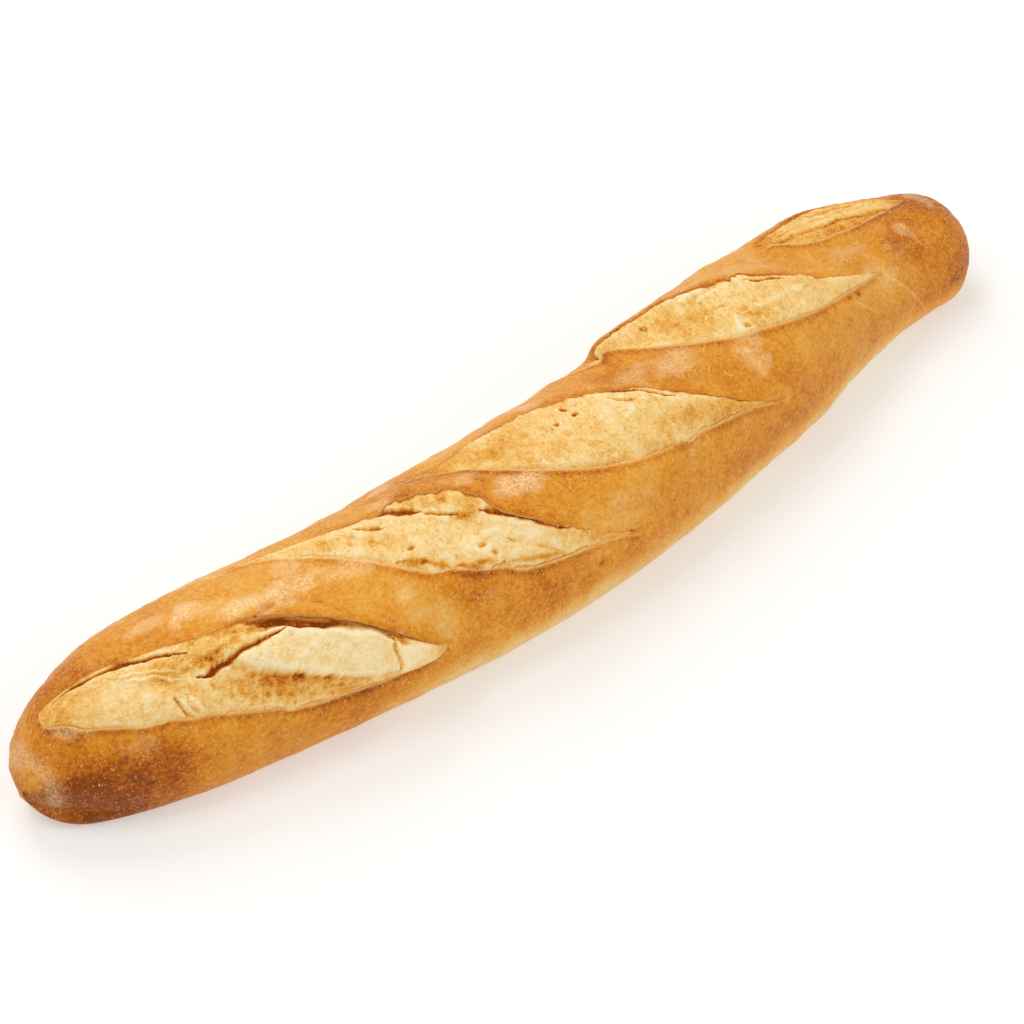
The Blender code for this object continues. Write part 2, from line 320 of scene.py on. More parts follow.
@dataclass(frozen=True)
class Lip:
    """One lip of a slash: its widest reach, how fast it opens and closes, bites and tatters."""

    reach: float
    opening: float
    closing: float
    ragged: float = 0.0003
    bites: tuple[Bite, ...] = ()
    chips: tuple[Bite, ...] = ()
    least: float = 0.0004
    tip: float = 1e-6
    tatter: float = 5.0 * MM
    fray: float = 0.9 * MM
    stretch: float = 13.0 * MM
    calm: float = 0.35
    wild: float = 1.3
    fade: float = 8.0

    def at(self, along: np.ndarray) -> np.ndarray:
        """Distance of the lip from the line between the tips, for 0 to 1 along it."""
        along = np.clip(along, self.tip, 1.0 - self.tip)
        curve = self.reach * peaked(along, self.opening, self.closing)
        return np.maximum(curve + sum(bite.at(along) for bite in self.bites), self.least)

    def torn(self, along: np.ndarray, length: float, seed: int) -> np.ndarray:
        """The lip with its chips and tatters, which fade out at the tips."""
        run = plane(along * length, np.zeros_like(along))
        tatters = Grain.layered(run, self.tatter, seed, 4) + 0.5 * Grain.smooth(run, self.fray, seed + 9)
        patchy = steps(Grain.smooth(run, self.stretch, seed + 13), -0.6, 0.5)
        fade = np.clip(np.minimum(along, 1.0 - along) * self.fade, 0.0, 1.0)
        chipped = sum(chip.at(along) for chip in self.chips)
        tatters = self.ragged * (self.calm + self.wild * patchy) * tatters * fade
        return np.maximum(self.at(along) + chipped + tatters, self.least)


@dataclass(frozen=True)
class Ear:
    """The lip that lifted: its height, where it starts and stops, and how fast it rises."""

    height: float
    start: float
    stop: float
    opening: float = 1.2
    closing: float = 1.2

    def at(self, along: np.ndarray) -> np.ndarray:
        """How far it stands up, for 0 to 1 along the slash."""
        share = np.clip((along - self.start) / (self.stop - self.start), 0.0, 1.0)
        return self.height * peaked(share, self.opening, self.closing)


@dataclass(frozen=True)
class Swell:
    """A rise or hollow with a soft or a steep edge, and its toasting, which in hollows is partly painted
    shade.

    Its place, half sizes and height are in millimetres and its slant in degrees.
    """

    along: float
    across: float
    length: float
    breadth: float
    height: float = 0.0
    toast: float = 0.0
    slant: float = 0.0
    softness: float = 0.45

    def share(self, run: np.ndarray, across: np.ndarray) -> np.ndarray:
        """How much of it shows at distances along and across the slash."""
        turn = np.radians(self.slant)
        dx, dy = run - self.along * MM, across - self.across * MM
        ahead = (dx * np.cos(turn) + dy * np.sin(turn)) / (self.length * MM)
        aside = (dy * np.cos(turn) - dx * np.sin(turn)) / (self.breadth * MM)
        return steps(np.hypot(ahead, aside), 1.0 + self.softness, 1.0 - self.softness)


@dataclass(frozen=True)
class Cleft:
    """A narrow tear or fold between two places, and its toasting, which along tears and creases is partly
    painted shade.

    Its places, breadth and height are in millimetres.
    """

    start: tuple[float, float]
    end: tuple[float, float]
    breadth: float
    height: float = 0.0
    toast: float = 0.0
    taper: float = 6.0
    thinnest: float = 0.25

    def share(self, run: np.ndarray, across: np.ndarray) -> np.ndarray:
        """How much of it shows at distances along and across the slash."""
        first, last = np.array(self.start) * MM, np.array(self.end) * MM
        line = last - first
        dx, dy = run - first[0], across - first[1]
        ahead = np.clip((dx * line[0] + dy * line[1]) / (line @ line), 0.0, 1.0)
        gap = np.hypot(dx - ahead * line[0], dy - ahead * line[1])
        taper = np.clip(np.minimum(ahead, 1.0 - ahead) * self.taper, self.thinnest, 1.0)
        return np.exp(-((gap / (self.breadth * MM * taper)) ** 2))


@dataclass(frozen=True)
class Slash:
    """A cut that opened in the oven: a low lip, a lifted ear and a domed crumb between.

    Tips are (distance along the spine, degrees from the crown towards -Y). Fibre and groove,
    the gape under the ear, are in millimetres. Follow is the share of the ear's lift that
    the crumb takes up, and pore_share is the share of places that hold a pore.
    """

    name: str
    start: tuple[float, float]
    end: tuple[float, float]
    low: Lip
    high: Lip
    ear: Ear
    dome: float
    toast: float
    seed: int
    features: tuple[Swell | Cleft, ...] = ()
    fibre_slant: float = 12.0
    torn: float = 1.0
    pore_share: float = 0.30
    fibre: float = 0.35
    groove: float = 2.5
    follow: float = 0.35
    mottle: float = 1.0
    ear_fade: float = 0.010
    round_radius: float = 0.037
    undercut: float = 0.0035
    depth: float = 0.011

    def tips(self) -> tuple[np.ndarray, np.ndarray]:
        """Both tips as distances over the crust."""
        ends = []
        for spine, degrees in (self.start, self.end):
            ends.append(np.array([spine, np.radians(degrees) * self.round_radius]))
        return ends[0], ends[1]

    @property
    def length(self) -> float:
        """Length of the line between the tips."""
        start, end = self.tips()
        return float(np.linalg.norm(end - start))

    def place(self, along: np.ndarray, offset: np.ndarray) -> tuple[np.ndarray, np.ndarray]:
        """Spine distance and angle of points along (0 to 1) and across the slash."""
        start, end = self.tips()
        line = end - start
        side = np.array([-line[1], line[0]]) / np.linalg.norm(line)
        spine = start[0] + line[0] * along + side[0] * offset
        turned = start[1] + line[1] * along + side[1] * offset
        return spine, turned / self.round_radius

    def local(self, spine: np.ndarray, angle: np.ndarray) -> tuple[np.ndarray, np.ndarray]:
        """Share along the slash and distance across it of points on the crust."""
        start, end = self.tips()
        line = end - start
        length = np.linalg.norm(line)
        dx, dy = spine - start[0], angle * self.round_radius - start[1]
        along = (dx * line[0] + dy * line[1]) / length**2
        return along, (dy * line[0] - dx * line[1]) / length

    def lips(self, along: np.ndarray) -> tuple[np.ndarray, np.ndarray]:
        """Distances of both torn lips from the line between the tips."""
        low = self.low.torn(along, self.length, self.seed)
        return low, self.high.torn(along, self.length, self.seed + 3)

    def swell(self, along: np.ndarray) -> np.ndarray:
        """0 at the tips and 1 in the middle."""
        return np.sin(np.pi * np.clip(along, 0.0, 1.0))

    def ear_lift(self, spine: np.ndarray, angle: np.ndarray) -> np.ndarray:
        """How far the crust stands up behind the ear's lip."""
        along, offset = self.local(spine, angle)
        behind = -offset - self.high.at(along)
        return self.ear.at(along) * np.exp(-((behind / self.ear_fade) ** 2))


# Features that sink and toast at once, such as the near slash's crevice and the trough under its ear, are
# darkened partly as painted shade.
SLASHES = (
    Slash("near_slash", (0.0152, -20.0), (0.1455, 80.0),
          Lip(0.0273, 0.47, 0.79, 0.0006, (Bite(0.20, 0.10, 0.0034), Bite(0.50, 0.10, -0.0019)),
              (Bite(0.62, 0.012, 0.0013), Bite(0.67, 0.03, -0.0008), Bite(0.29, 0.03, 0.0006),
               Bite(0.55, 0.02, 0.0008))),
          Lip(0.0105, 2.61, 1.74, 0.0004, (Bite(0.30, 0.12, -0.0020),), (Bite(0.48, 0.02, 0.0006),)),
          ear=Ear(4.2 * MM, 0.42, 1.0), dome=1.0 * MM, toast=0.36, seed=11, pore_share=0.05,
          fibre_slant=64.0, torn=0.22, groove=0.8, follow=0.40,
          features=(Swell(30, 20, 14, 9, 0.5, -0.06, 0.0, 0.6),
                    Swell(57, 0.5, 20, 5.6, 0.2, 0.20, -27.0, 0.4),
                    Swell(67, 0.4, 17, 2.7, -0.5, 0.26, -31.6, 0.5),
                    Swell(90, -8.6, 15, 1.6, -1.3, 0.44, 2.0, 0.5),
                    Swell(99, 1.8, 38, 8.2, 3.0, -0.20, 1.5, 0.22),
                    Swell(86, 14.8, 34, 5.2, -1.4, 0.16, 2.0, 0.6),
                    Swell(76, 13, 12, 3.0, -0.4, 0.10, -8.0, 0.6),
                    Swell(133, 4.5, 10, 6.5, 1.2, -0.16, 0.0, 0.4),
                    Cleft((56, 11.5), (84, -5.5), 1.3, -2.0, 0.50),
                    Cleft((122, -3), (125, 8), 0.9, -1.0, 0.22),
                    Swell(123, -3.2, 4.5, 1.2, -1.2, 0.40, 20.0, 0.5),
                    Cleft((6, 1.4), (52, 1.0), 1.1, -1.5, 0.55),
                    Cleft((49, 18), (57, 26), 0.7, 0.8, -0.16),
                    Cleft((52, 17), (61, 25), 0.6, 0.7, -0.14),
                    Cleft((47, 18), (54, 26), 0.5, -0.6, 0.18),
                    Cleft((26, 6), (48, 9), 0.8, 0.6, -0.12),
                    Cleft((30, 9), (52, 12), 0.7, 0.5, -0.10))),
    Slash("second_slash", (0.0843, -44.0), (0.2267, 78.0),
          Lip(0.0149, 2.90, 2.15, 0.0008, (Bite(0.60, 0.08, -0.0024),),
              (Bite(0.52, 0.03, 0.0008), Bite(0.62, 0.012, 0.0012), Bite(0.66, 0.010, -0.0009),
               Bite(0.70, 0.014, -0.0008), Bite(0.56, 0.010, -0.0008), Bite(0.47, 0.010, -0.0007))),
          Lip(0.0106, 2.55, 3.00, 0.0006, (Bite(0.53, 0.10, 0.0065),),
              (Bite(0.47, 0.02, -0.0010), Bite(0.56, 0.020, 0.0016), Bite(0.60, 0.012, -0.0012))),
          ear=Ear(3.6 * MM, 0.25, 0.90), dome=1.2 * MM, toast=0.29, seed=23, pore_share=0.12,
          fibre_slant=20.0, torn=0.45, groove=0.5, follow=0.75,
          features=(Cleft((64, -11.5), (80, -8.8), 1.4, -0.8, 0.50),
                    Cleft((66, -12.8), (78, -10.6), 0.8, 0.9, 0.10),
                    Cleft((80, -7.8), (92, -6.6), 0.7, -0.9, 0.28),
                    Swell(93, -6.6, 3.2, 1.7, 0.3, 0.50, 0.0, 0.4),
                    Cleft((100, -7.8), (119, -4.5), 1.2, -1.2, 0.40),
                    Cleft((116, -4.8), (130, -1.4), 1.0, -1.1, 0.34),
                    Swell(77, -14, 14, 3.6, 0.4, 0.30, 8.0, 0.4),
                    Swell(98, -12, 6.5, 4.4, 1.2, 0.34, 0.0, 0.35),
                    Swell(88, -14.5, 3.0, 3.0, -0.6, 0.25, 0.0, 0.5),
                    Cleft((57, -5), (66, -3.6), 1.0, -0.9, 0.36),
                    Cleft((70, 10.6), (88, 11.8), 1.5, 0.2, 0.60),
                    Cleft((90, 11.0), (104, 9.8), 1.3, 0.2, 0.52),
                    Cleft((108, 10.0), (132, 6.8), 1.1, 0.2, 0.40),
                    Swell(112, 4, 16, 5, 0.5, -0.06, 0.0, 0.5),
                    Cleft((108, 2), (126, 6), 0.9, -0.5, 0.12),
                    Swell(46, 1, 24, 3, -0.5, 0.14, 0.0, 0.5),
                    Swell(150, 0, 20, 5, -0.2, 0.20, 0.0, 0.6),
                    Swell(75, 5, 1.5, 1.0, -0.6, 0.24, 0.0, 0.6),
                    Swell(103, 7, 1.6, 1.0, -0.6, 0.24, 0.0, 0.6),
                    Swell(99, 4, 1.3, 0.8, -0.5, 0.20, 0.0, 0.6))),
    Slash("middle_slash", (0.1632, -26.0), (0.3142, 68.0),
          Lip(0.0119, 2.42, 3.00, 0.0005, (), (Bite(0.72, 0.014, -0.0010), Bite(0.66, 0.03, 0.0005))),
          Lip(0.0210, 1.57, 2.21, 0.0006, (), (Bite(0.62, 0.03, 0.0010),)),
          ear=Ear(2.6 * MM, 0.12, 0.85, 0.8, 1.2), dome=2.2 * MM, toast=0.40, seed=37, pore_share=0.06,
          fibre_slant=24.0, torn=0.4, groove=0.3, follow=0.85,
          features=(Cleft((88, -19), (111, -9.5), 0.9, -1.3, 0.42),
                    Cleft((86, -14), (95, -10), 0.6, -0.6, 0.20),
                    Swell(69, -14, 1.5, 0.9, -0.8, 0.28),
                    Swell(72, -11, 1.3, 0.9, -0.8, 0.26),
                    Swell(63, -8, 1.5, 1.0, -0.8, 0.28),
                    Swell(96, -10, 16, 5, 0.4, -0.12, 14.0, 0.6),
                    Swell(76, -6, 16, 5, 0.2, -0.06, 0.0, 0.6),
                    Swell(28, -5, 20, 6, -0.2, 0.14, 0.0, 0.6),
                    Swell(139, -1, 26, 5, -0.3, 0.20, 0.0, 0.6))),
    Slash("fourth_slash", (0.2598, -39.0), (0.4088, 47.0),
          Lip(0.0169, 1.38, 1.46, 0.0003),
          Lip(0.0076, 1.96, 3.00, 0.0011, (), (Bite(0.30, 0.03, 0.0010), Bite(0.52, 0.02, 0.0014))),
          ear=Ear(6.8 * MM, 0.085, 0.95, 0.22, 1.6), dome=1.6 * MM, toast=0.35, seed=41,
          pore_share=0.04, fibre_slant=70.0, torn=0.25, groove=0.0, follow=0.88,
          features=(Cleft((50, -9), (61, -5), 1.3, 0.6, -0.24),
                    Cleft((53, -4), (67, -7), 1.2, 0.6, -0.22),
                    Cleft((60, -2), (73, -5), 1.1, 0.5, -0.20),
                    Cleft((69, 8), (66, 18), 1.3, 0.4, -0.24),
                    Swell(71, 14, 1.7, 1.1, -0.5, 0.22, 0.0, 0.6),
                    Swell(35, 0, 1.6, 1.0, -0.5, 0.26, 0.0, 0.6),
                    Cleft((84, -3.6), (101, -2), 0.7, -0.8, 0.34),
                    Cleft((36, 4), (68, 3), 2.0, -0.2, 0.12),
                    Cleft((72, 9), (108, 3), 1.6, 0.5, -0.10),
                    Swell(60, 9, 22, 3.5, 0.0, 0.12, 0.0, 0.6))),
    Slash("far_slash", (0.3744, -25.0), (0.4541, -11.0),
          Lip(0.0134, 0.50, 0.82, 0.0003), Lip(0.0120, 2.00, 1.05, 0.0007),
          ear=Ear(4.6 * MM, 0.02, 1.0, 0.35, 1.2), dome=1.3 * MM, toast=0.47, seed=59,
          pore_share=0.0, fibre_slant=0.0, torn=0.08, groove=0.1, mottle=0.6, follow=0.8,
          features=(Cleft((3, 5.4), (75, 6), 1.4, -0.7, 0.16),
                    Swell(40, 10.5, 34, 4.0, 0.0, 0.18, 0.0, 0.5),
                    Cleft((10, 3), (66, -1), 1.2, -0.3, 0.08),
                    Cleft((24, -5), (62, -4), 1.1, -0.3, 0.08),
                    Swell(38, 1, 30, 3.5, 0.5, -0.10, -3.0, 0.6))),
)

# Marks on the crust, in millimetres along the spine and round from the crown: folds, whose
# darker creases are partly painted shade, stretched pale skin past the slashes' tips, scratches and
# blemishes.
CRUST_MARKS = (
    Cleft((77, 9), (87, 11.4), 1.2, -0.6, 0.22),
    Cleft((87, 11.4), (96, 9), 1.3, -1.4, 0.18),
    Cleft((96, 9), (106, 12), 1.2, -0.8, 0.20),
    Cleft((105, 12), (118, 26), 1.2, -0.4, 0.12),
    Swell(92, 14, 12, 4, 0.9, 0.06, 10.0, 0.5),
    Swell(88, 5, 12, 3.5, 0.8, -0.06, 0.0, 0.5),
    Swell(68, -6, 9, 5, 0.7, -0.06, 20.0, 0.5),
    Swell(136, 31, 5, 9, -0.7, -0.26, 0.0, 0.7),
    Swell(146, 44, 6, 12, -0.7, -0.30, 0.0, 0.7),
    Swell(158, 33, 12, 9, 0.4, 0.20, 0.0, 0.7),
    Swell(213, 42, 18, 7, -0.3, -0.22, 14.0, 0.7),
    Swell(309, 43, 12, 5, -0.2, -0.18, 14.0, 0.7),
    Swell(404, 29, 8, 5, -0.4, -0.20, 0.0, 0.7),
    Swell(430, 23, 12, 9, 0.4, 0.22, 0.0, 0.7),
    Cleft((408, 30), (435, 66), 0.8, 0.10, -0.30),
    Cleft((378, 31), (393, 45), 0.7, 0.10, -0.26),
    Cleft((439, 11), (441, 30), 0.7, 0.10, -0.24),
    Cleft((312, 17), (310, 32), 1.8, 0.10, -0.22),
    Cleft((306, 15), (318, 24), 0.9, 0.10, -0.20),
    Swell(385, 31, 1.6, 1.2, -0.3, 0.45, 0.0, 0.6),
    Swell(378, 30, 1.3, 1.0, -0.3, 0.40, 0.0, 0.6),
    Swell(208, 53, 1.6, 1.2, -0.3, 0.40),
)


class Meshes:
    """Turns arrays of points into Blender meshes and objects."""

    @staticmethod
    def closed_grid(name: str, rings: np.ndarray, poles: tuple[Any, Any] | None = None) -> bpy.types.Mesh:
        """Closed mesh of rings of points.

        Args:
            name: The mesh's name.
            rings: Points, by ring and by place round it.
            poles: A point past each end, or none where the end rings are flat caps.

        Returns:
            The mesh, its faces pointing out.
        """
        count, around = rings.shape[:2]
        points = rings.reshape(-1, 3)
        i = np.arange(count - 1)[:, None] * around
        j = np.arange(around)[None, :]
        k = (j + 1) % around
        quads = np.stack([i + j, i + around + j, i + around + k, i + k], axis=-1).reshape(-1, 4).tolist()
        last = (count - 1) * around
        if poles is None:
            quads.append(list(range(around)))
            quads.append(list(range(last + around - 1, last - 1, -1)))
        else:
            pole = len(points)
            points = np.concatenate([points, [poles[0], poles[1]]])
            quads += [[pole, n, (n + 1) % around] for n in range(around)]
            quads += [[pole + 1, last + (n + 1) % around, last + n] for n in range(around)]
        mesh = bpy.data.meshes.new(name)
        mesh.from_pydata(points.tolist(), [], quads)
        work = bmesh.new()
        work.from_mesh(mesh)
        bmesh.ops.recalc_face_normals(work, faces=work.faces)
        work.to_mesh(mesh)
        work.free()
        return mesh

    @staticmethod
    def linked(name: str, mesh: bpy.types.Mesh) -> bpy.types.Object:
        """A new object of the mesh, in the scene."""
        obj = bpy.data.objects.new(name, mesh)
        bpy.context.scene.collection.objects.link(obj)
        return obj

    @staticmethod
    def points(mesh: bpy.types.Mesh) -> np.ndarray:
        """The mesh's points."""
        flat = np.empty(len(mesh.vertices) * 3)
        mesh.vertices.foreach_get("co", flat)
        return flat.reshape(-1, 3)

    @staticmethod
    def paint(mesh: bpy.types.Mesh, name: str, values: np.ndarray) -> None:
        """Stores one number for each point, for the finishes to read."""
        layer = mesh.attributes.new(name, "FLOAT", "POINT")
        layer.data.foreach_set("value", np.clip(values, 0.0, 1.0).astype(np.float32))

    @staticmethod
    def baked(obj: bpy.types.Object, name: str) -> bpy.types.Mesh:
        """The object's mesh with its modifiers worked in, and the modifiers taken off."""
        graph = bpy.context.evaluated_depsgraph_get()
        mesh = bpy.data.meshes.new_from_object(obj.evaluated_get(graph), depsgraph=graph)
        mesh.name = name
        obj.modifiers.clear()
        return mesh

    @staticmethod
    def finish(mesh: bpy.types.Mesh, degrees: float) -> None:
        """Smooth shading with edges kept sharp past an angle."""
        mesh.shade_smooth()
        mesh.set_sharp_from_angle(angle=np.radians(degrees))


class Sock:
    """A shader socket that takes part in Python arithmetic through Math nodes."""

    def __init__(self, tree: "Finish", socket: bpy.types.NodeSocket) -> None:
        """Wraps the socket of a tree."""
        self.tree = tree
        self.socket = socket

    def math(self, operation: str, *values: Any, clamp: bool = False) -> "Sock":
        """A Math node on the values, which may be numbers or sockets."""
        inputs = dict(enumerate(values))
        return self.tree.node("ShaderNodeMath", {"operation": operation, "use_clamp": clamp}, inputs)

    def __add__(self, other: Any) -> "Sock":
        """Sum."""
        return self.math("ADD", self, other)

    def __radd__(self, other: Any) -> "Sock":
        """Sum."""
        return self.math("ADD", other, self)

    def __sub__(self, other: Any) -> "Sock":
        """Difference."""
        return self.math("SUBTRACT", self, other)

    def __rsub__(self, other: Any) -> "Sock":
        """Difference the other way."""
        return self.math("SUBTRACT", other, self)

    def __mul__(self, other: Any) -> "Sock":
        """Product."""
        return self.math("MULTIPLY", self, other)

    def __rmul__(self, other: Any) -> "Sock":
        """Product."""
        return self.math("MULTIPLY", other, self)

    def clamped(self) -> "Sock":
        """The value kept within 0 to 1."""
        return self.math("ADD", self, 0.0, clamp=True)

    def between(self, low: float, high: float) -> "Sock":
        """0 at low and 1 at high, smooth between."""
        return self.tree.node("ShaderNodeMapRange", {"interpolation_type": "SMOOTHSTEP"},
                              {0: self, 1: low, 2: high, 3: 0.0, 4: 1.0})


Stops = tuple[tuple[float, tuple[float, float, float, float]], ...]


class Finish:
    """A material's node tree, with one method that makes any node."""

    def __init__(self, name: str) -> None:
        """Starts a material with a Principled shader."""
        self.material = bpy.data.materials.new(name)
        self.material.use_nodes = True
        self.nodes = self.material.node_tree.nodes
        self.links = self.material.node_tree.links
        self.shader = self.nodes["Principled BSDF"]

    def node(self, kind: str, settings: dict[str, Any], inputs: dict[Any, Any], output: Any = 0) -> Sock:
        """Makes a node.

        Args:
            kind: Its type.
            settings: Properties, set first. A ramp's stops go under "stops".
            inputs: Values or sockets by input name or index.
            output: Name or index of the output wanted.

        Returns:
            That output, wrapped.
        """
        node = self.nodes.new(kind)
        for key, value in settings.items():
            if key == "stops":
                elements = node.color_ramp.elements
                while len(elements) < len(value):
                    elements.new(1.0)
                for element, (position, color) in zip(elements, value):
                    element.position = position
                    element.color = color
            else:
                setattr(node, key, value)
        for key, value in inputs.items():
            self.feed(node.inputs[key], value)
        return Sock(self, node.outputs[output])

    def feed(self, socket: bpy.types.NodeSocket, value: Any) -> None:
        """Links a wrapped socket, or sets a plain value."""
        if isinstance(value, Sock):
            self.links.new(value.socket, socket)
        else:
            socket.default_value = value

    def where(self) -> Sock:
        """Object coordinates."""
        return self.node("ShaderNodeTexCoord", {}, {}, "Object")

    def painted(self, name: str) -> Sock:
        """A number stored on the mesh."""
        return self.node("ShaderNodeAttribute", {"attribute_name": name}, {}, "Fac")

    def noise(self, size: float, detail: float = 2.0, roughness: float = 0.5) -> Sock:
        """Noise from 0 to 1 with features of about the given size."""
        inputs = {"Vector": self.where(), "Scale": 1.0 / size, "Detail": detail, "Roughness": roughness}
        return self.node("ShaderNodeTexNoise", {}, inputs)

    def spots(self, size: float, vector: Sock) -> Sock:
        """Distance to the nearest random centre, in cell sizes."""
        return self.node("ShaderNodeTexVoronoi", {}, {"Vector": vector, "Scale": 1.0 / size})

    def warped(self, size: float, reach: float) -> Sock:
        """Object coordinates shaken by noise, so that cells lose their round outlines."""
        shaken = self.node("ShaderNodeTexNoise", {}, {"Vector": self.where(), "Scale": 1.0 / size}, 1)
        middle = (0.5, 0.5, 0.5)
        kind = "ShaderNodeVectorMath"
        centred = self.node(kind, {"operation": "SUBTRACT"}, {0: shaken, 1: middle})
        scaled = self.node(kind, {"operation": "SCALE"}, {0: centred, "Scale": reach * 2.0})
        return self.node(kind, {"operation": "ADD"}, {0: self.where(), 1: scaled})

    def ramp(self, value: Sock, stops: Stops) -> Sock:
        """Colour by a value."""
        return self.node("ShaderNodeValToRGB", {"stops": stops}, {0: value})

    def mixed(self, share: Any, first: Any, second: Any) -> Sock:
        """Mix of two colours."""
        return self.node("ShaderNodeMix", {"data_type": "RGBA"}, {0: share, 6: first, 7: second}, 2)

    def bump(self, height: Sock, distance: float, strength: float, normal: Sock | None = None) -> Sock:
        """Normal raised by a height in units of a distance."""
        inputs = {"Strength": strength, "Distance": distance, "Height": height}
        if normal is not None:
            inputs["Normal"] = normal
        return self.node("ShaderNodeBump", {}, inputs)


@dataclass(frozen=True)
class CrustFinish:
    """Baked crust, from pale tan to deep brown, with specks, pale dust with painted highlights, and a soft
    gloss.
    """

    bake: Stops = (
        (0.00, linear(236, 198, 132)),
        (0.20, linear(230, 176, 90)),
        (0.42, linear(226, 154, 48)),
        (0.66, linear(206, 124, 24)),
        (0.84, linear(176, 92, 12)),
        (1.00, linear(134, 60, 8)),
    )
    speck: tuple[float, float, float, float] = linear(246, 208, 150)
    # Painted highlight colour of the dust patches, as well as the colour of dust.
    dust: tuple[float, float, float, float] = linear(255, 222, 170)
    rim: tuple[float, float, float, float] = linear(250, 206, 124)
    gloss: tuple[float, float, float, float] = (1.0, 0.74, 0.42, 1.0)
    specular: float = 0.24
    roughness: float = 0.46
    roughness_swing: float = 0.5
    dust_gloss: float = 0.12
    fine_size: float = 1.5 * MM
    fine_gain: float = 0.70
    mottle_size: float = 6.0 * MM
    mottle_gain: float = 0.46
    speck_size: float = 1.15 * MM
    speck_edge: tuple[float, float] = (0.08, 0.38)
    speck_share: float = 0.55
    dust_and_highlight_size: float = 0.9 * MM
    dust_and_highlight_least: float = 0.26
    dust_and_highlight_gain: float = 0.56
    rim_share: float = 0.75
    pebble_size: float = 0.8 * MM
    pebble_rise: float = 0.16 * MM
    speck_rise: float = 0.12 * MM
    fine_rise: float = 0.45 * MM

    def build(self) -> bpy.types.Material:
        """The crust's material."""
        finish = Finish("crust_finish")
        fine = finish.noise(self.fine_size, 4.0, 0.65)
        mottle = finish.noise(self.mottle_size, 4.0, 0.6)
        bake = finish.painted("bake") + (fine - 0.5) * self.fine_gain + (mottle - 0.5) * self.mottle_gain
        color = finish.ramp(bake.clamped(), self.bake)
        warped = finish.warped(1.2 * MM, 0.8 * MM)
        specks = 1.0 - finish.spots(self.speck_size, warped).between(*self.speck_edge)
        gate = finish.noise(4.0 * MM, 3.0).between(0.36, 0.58)
        color = finish.mixed(specks * gate * self.speck_share, color, self.speck)
        # Pale dust, and painted highlights: the dust patches stand in for glossy highlights on the band
        # tops.
        dust = finish.painted("dust")
        cloud = finish.noise(self.dust_and_highlight_size, 4.0, 0.7).between(0.44, 0.58)
        color = finish.mixed(dust * (self.dust_and_highlight_least + cloud * self.dust_and_highlight_gain), color, self.dust)
        color = finish.mixed(finish.painted("rim") * self.rim_share, color, self.rim)
        finish.feed(finish.shader.inputs["Base Color"], color)
        rough = self.roughness + (fine - 0.5) * self.roughness_swing - dust * self.dust_gloss
        finish.feed(finish.shader.inputs["Roughness"], rough.clamped())
        finish.shader.inputs["Specular IOR Level"].default_value = self.specular
        finish.shader.inputs["Specular Tint"].default_value = self.gloss
        pebble = finish.noise(self.pebble_size, 3.0, 0.6)
        normal = finish.bump(pebble, self.pebble_rise, 1.0)
        normal = finish.bump(specks * gate, self.speck_rise, 0.9, normal)
        normal = finish.bump(fine, self.fine_rise, 0.8, normal)
        finish.feed(finish.shader.inputs["Normal"], normal)
        return finish.material


@dataclass(frozen=True)
class CrumbFinish:
    """Torn crumb, from pale cream to toasted brown."""

    toast: Stops = (
        (0.00, linear(248, 229, 182)),
        (0.18, linear(245, 214, 154)),
        (0.36, linear(240, 199, 124)),
        (0.56, linear(229, 170, 78)),
        (0.76, linear(209, 131, 38)),
        (0.90, linear(180, 86, 22)),
        (1.00, linear(136, 60, 10)),
    )
    gloss: tuple[float, float, float, float] = (1.0, 0.85, 0.60, 1.0)
    specular: float = 0.2
    roughness: float = 0.72
    roughness_swing: float = 0.2
    fine_size: float = 0.7 * MM
    fine_gain: float = 0.80
    fine_rise: float = 0.22 * MM
    broad_size: float = 2.6 * MM
    broad_gain: float = 0.46

    def build(self) -> bpy.types.Material:
        """The crumb's material."""
        finish = Finish("crumb_finish")
        fine = finish.noise(self.fine_size, 4.0, 0.7)
        broad = finish.noise(self.broad_size, 4.0, 0.65)
        toast = finish.painted("toast") + (fine - 0.5) * self.fine_gain + (broad - 0.5) * self.broad_gain
        finish.feed(finish.shader.inputs["Base Color"], finish.ramp(toast.clamped(), self.toast))
        rough = self.roughness + (fine - 0.5) * self.roughness_swing
        finish.feed(finish.shader.inputs["Roughness"], rough.clamped())
        finish.shader.inputs["Specular IOR Level"].default_value = self.specular
        finish.shader.inputs["Specular Tint"].default_value = self.gloss
        finish.feed(finish.shader.inputs["Normal"], finish.bump(fine, self.fine_rise, 1.0))
        return finish.material


@dataclass(frozen=True)
class BlisterFinish:
    """Pale skin of blisters and flakes on the crust."""

    color: tuple[float, float, float, float] = linear(234, 178, 92)
    pale: tuple[float, float, float, float] = linear(242, 194, 116)
    patch: float = 5.0 * MM
    roughness: float = 0.5
    specular: float = 0.25

    def build(self) -> bpy.types.Material:
        """The blisters' material."""
        finish = Finish("blister_finish")
        share = finish.noise(self.patch, 3.0).between(0.40, 0.60)
        finish.feed(finish.shader.inputs["Base Color"], finish.mixed(share, self.color, self.pale))
        finish.shader.inputs["Roughness"].default_value = self.roughness
        finish.shader.inputs["Specular IOR Level"].default_value = self.specular
        return finish.material


@dataclass(frozen=True)
class FloorFinish:
    """Plain pale floor."""

    color: tuple[float, float, float, float] = (0.56, 0.56, 0.56, 1.0)
    glow: tuple[float, float, float, float] = (1.0, 0.97, 0.92, 1.0)
    strength: float = 0.42
    roughness: float = 0.9
    specular: float = 0.1

    def build(self) -> bpy.types.Material:
        """The floor's material."""
        finish = Finish("floor_finish")
        finish.shader.inputs["Base Color"].default_value = self.color
        finish.shader.inputs["Roughness"].default_value = self.roughness
        finish.shader.inputs["Specular IOR Level"].default_value = self.specular
        finish.shader.inputs["Emission Color"].default_value = self.glow
        finish.shader.inputs["Emission Strength"].default_value = self.strength
        return finish.material


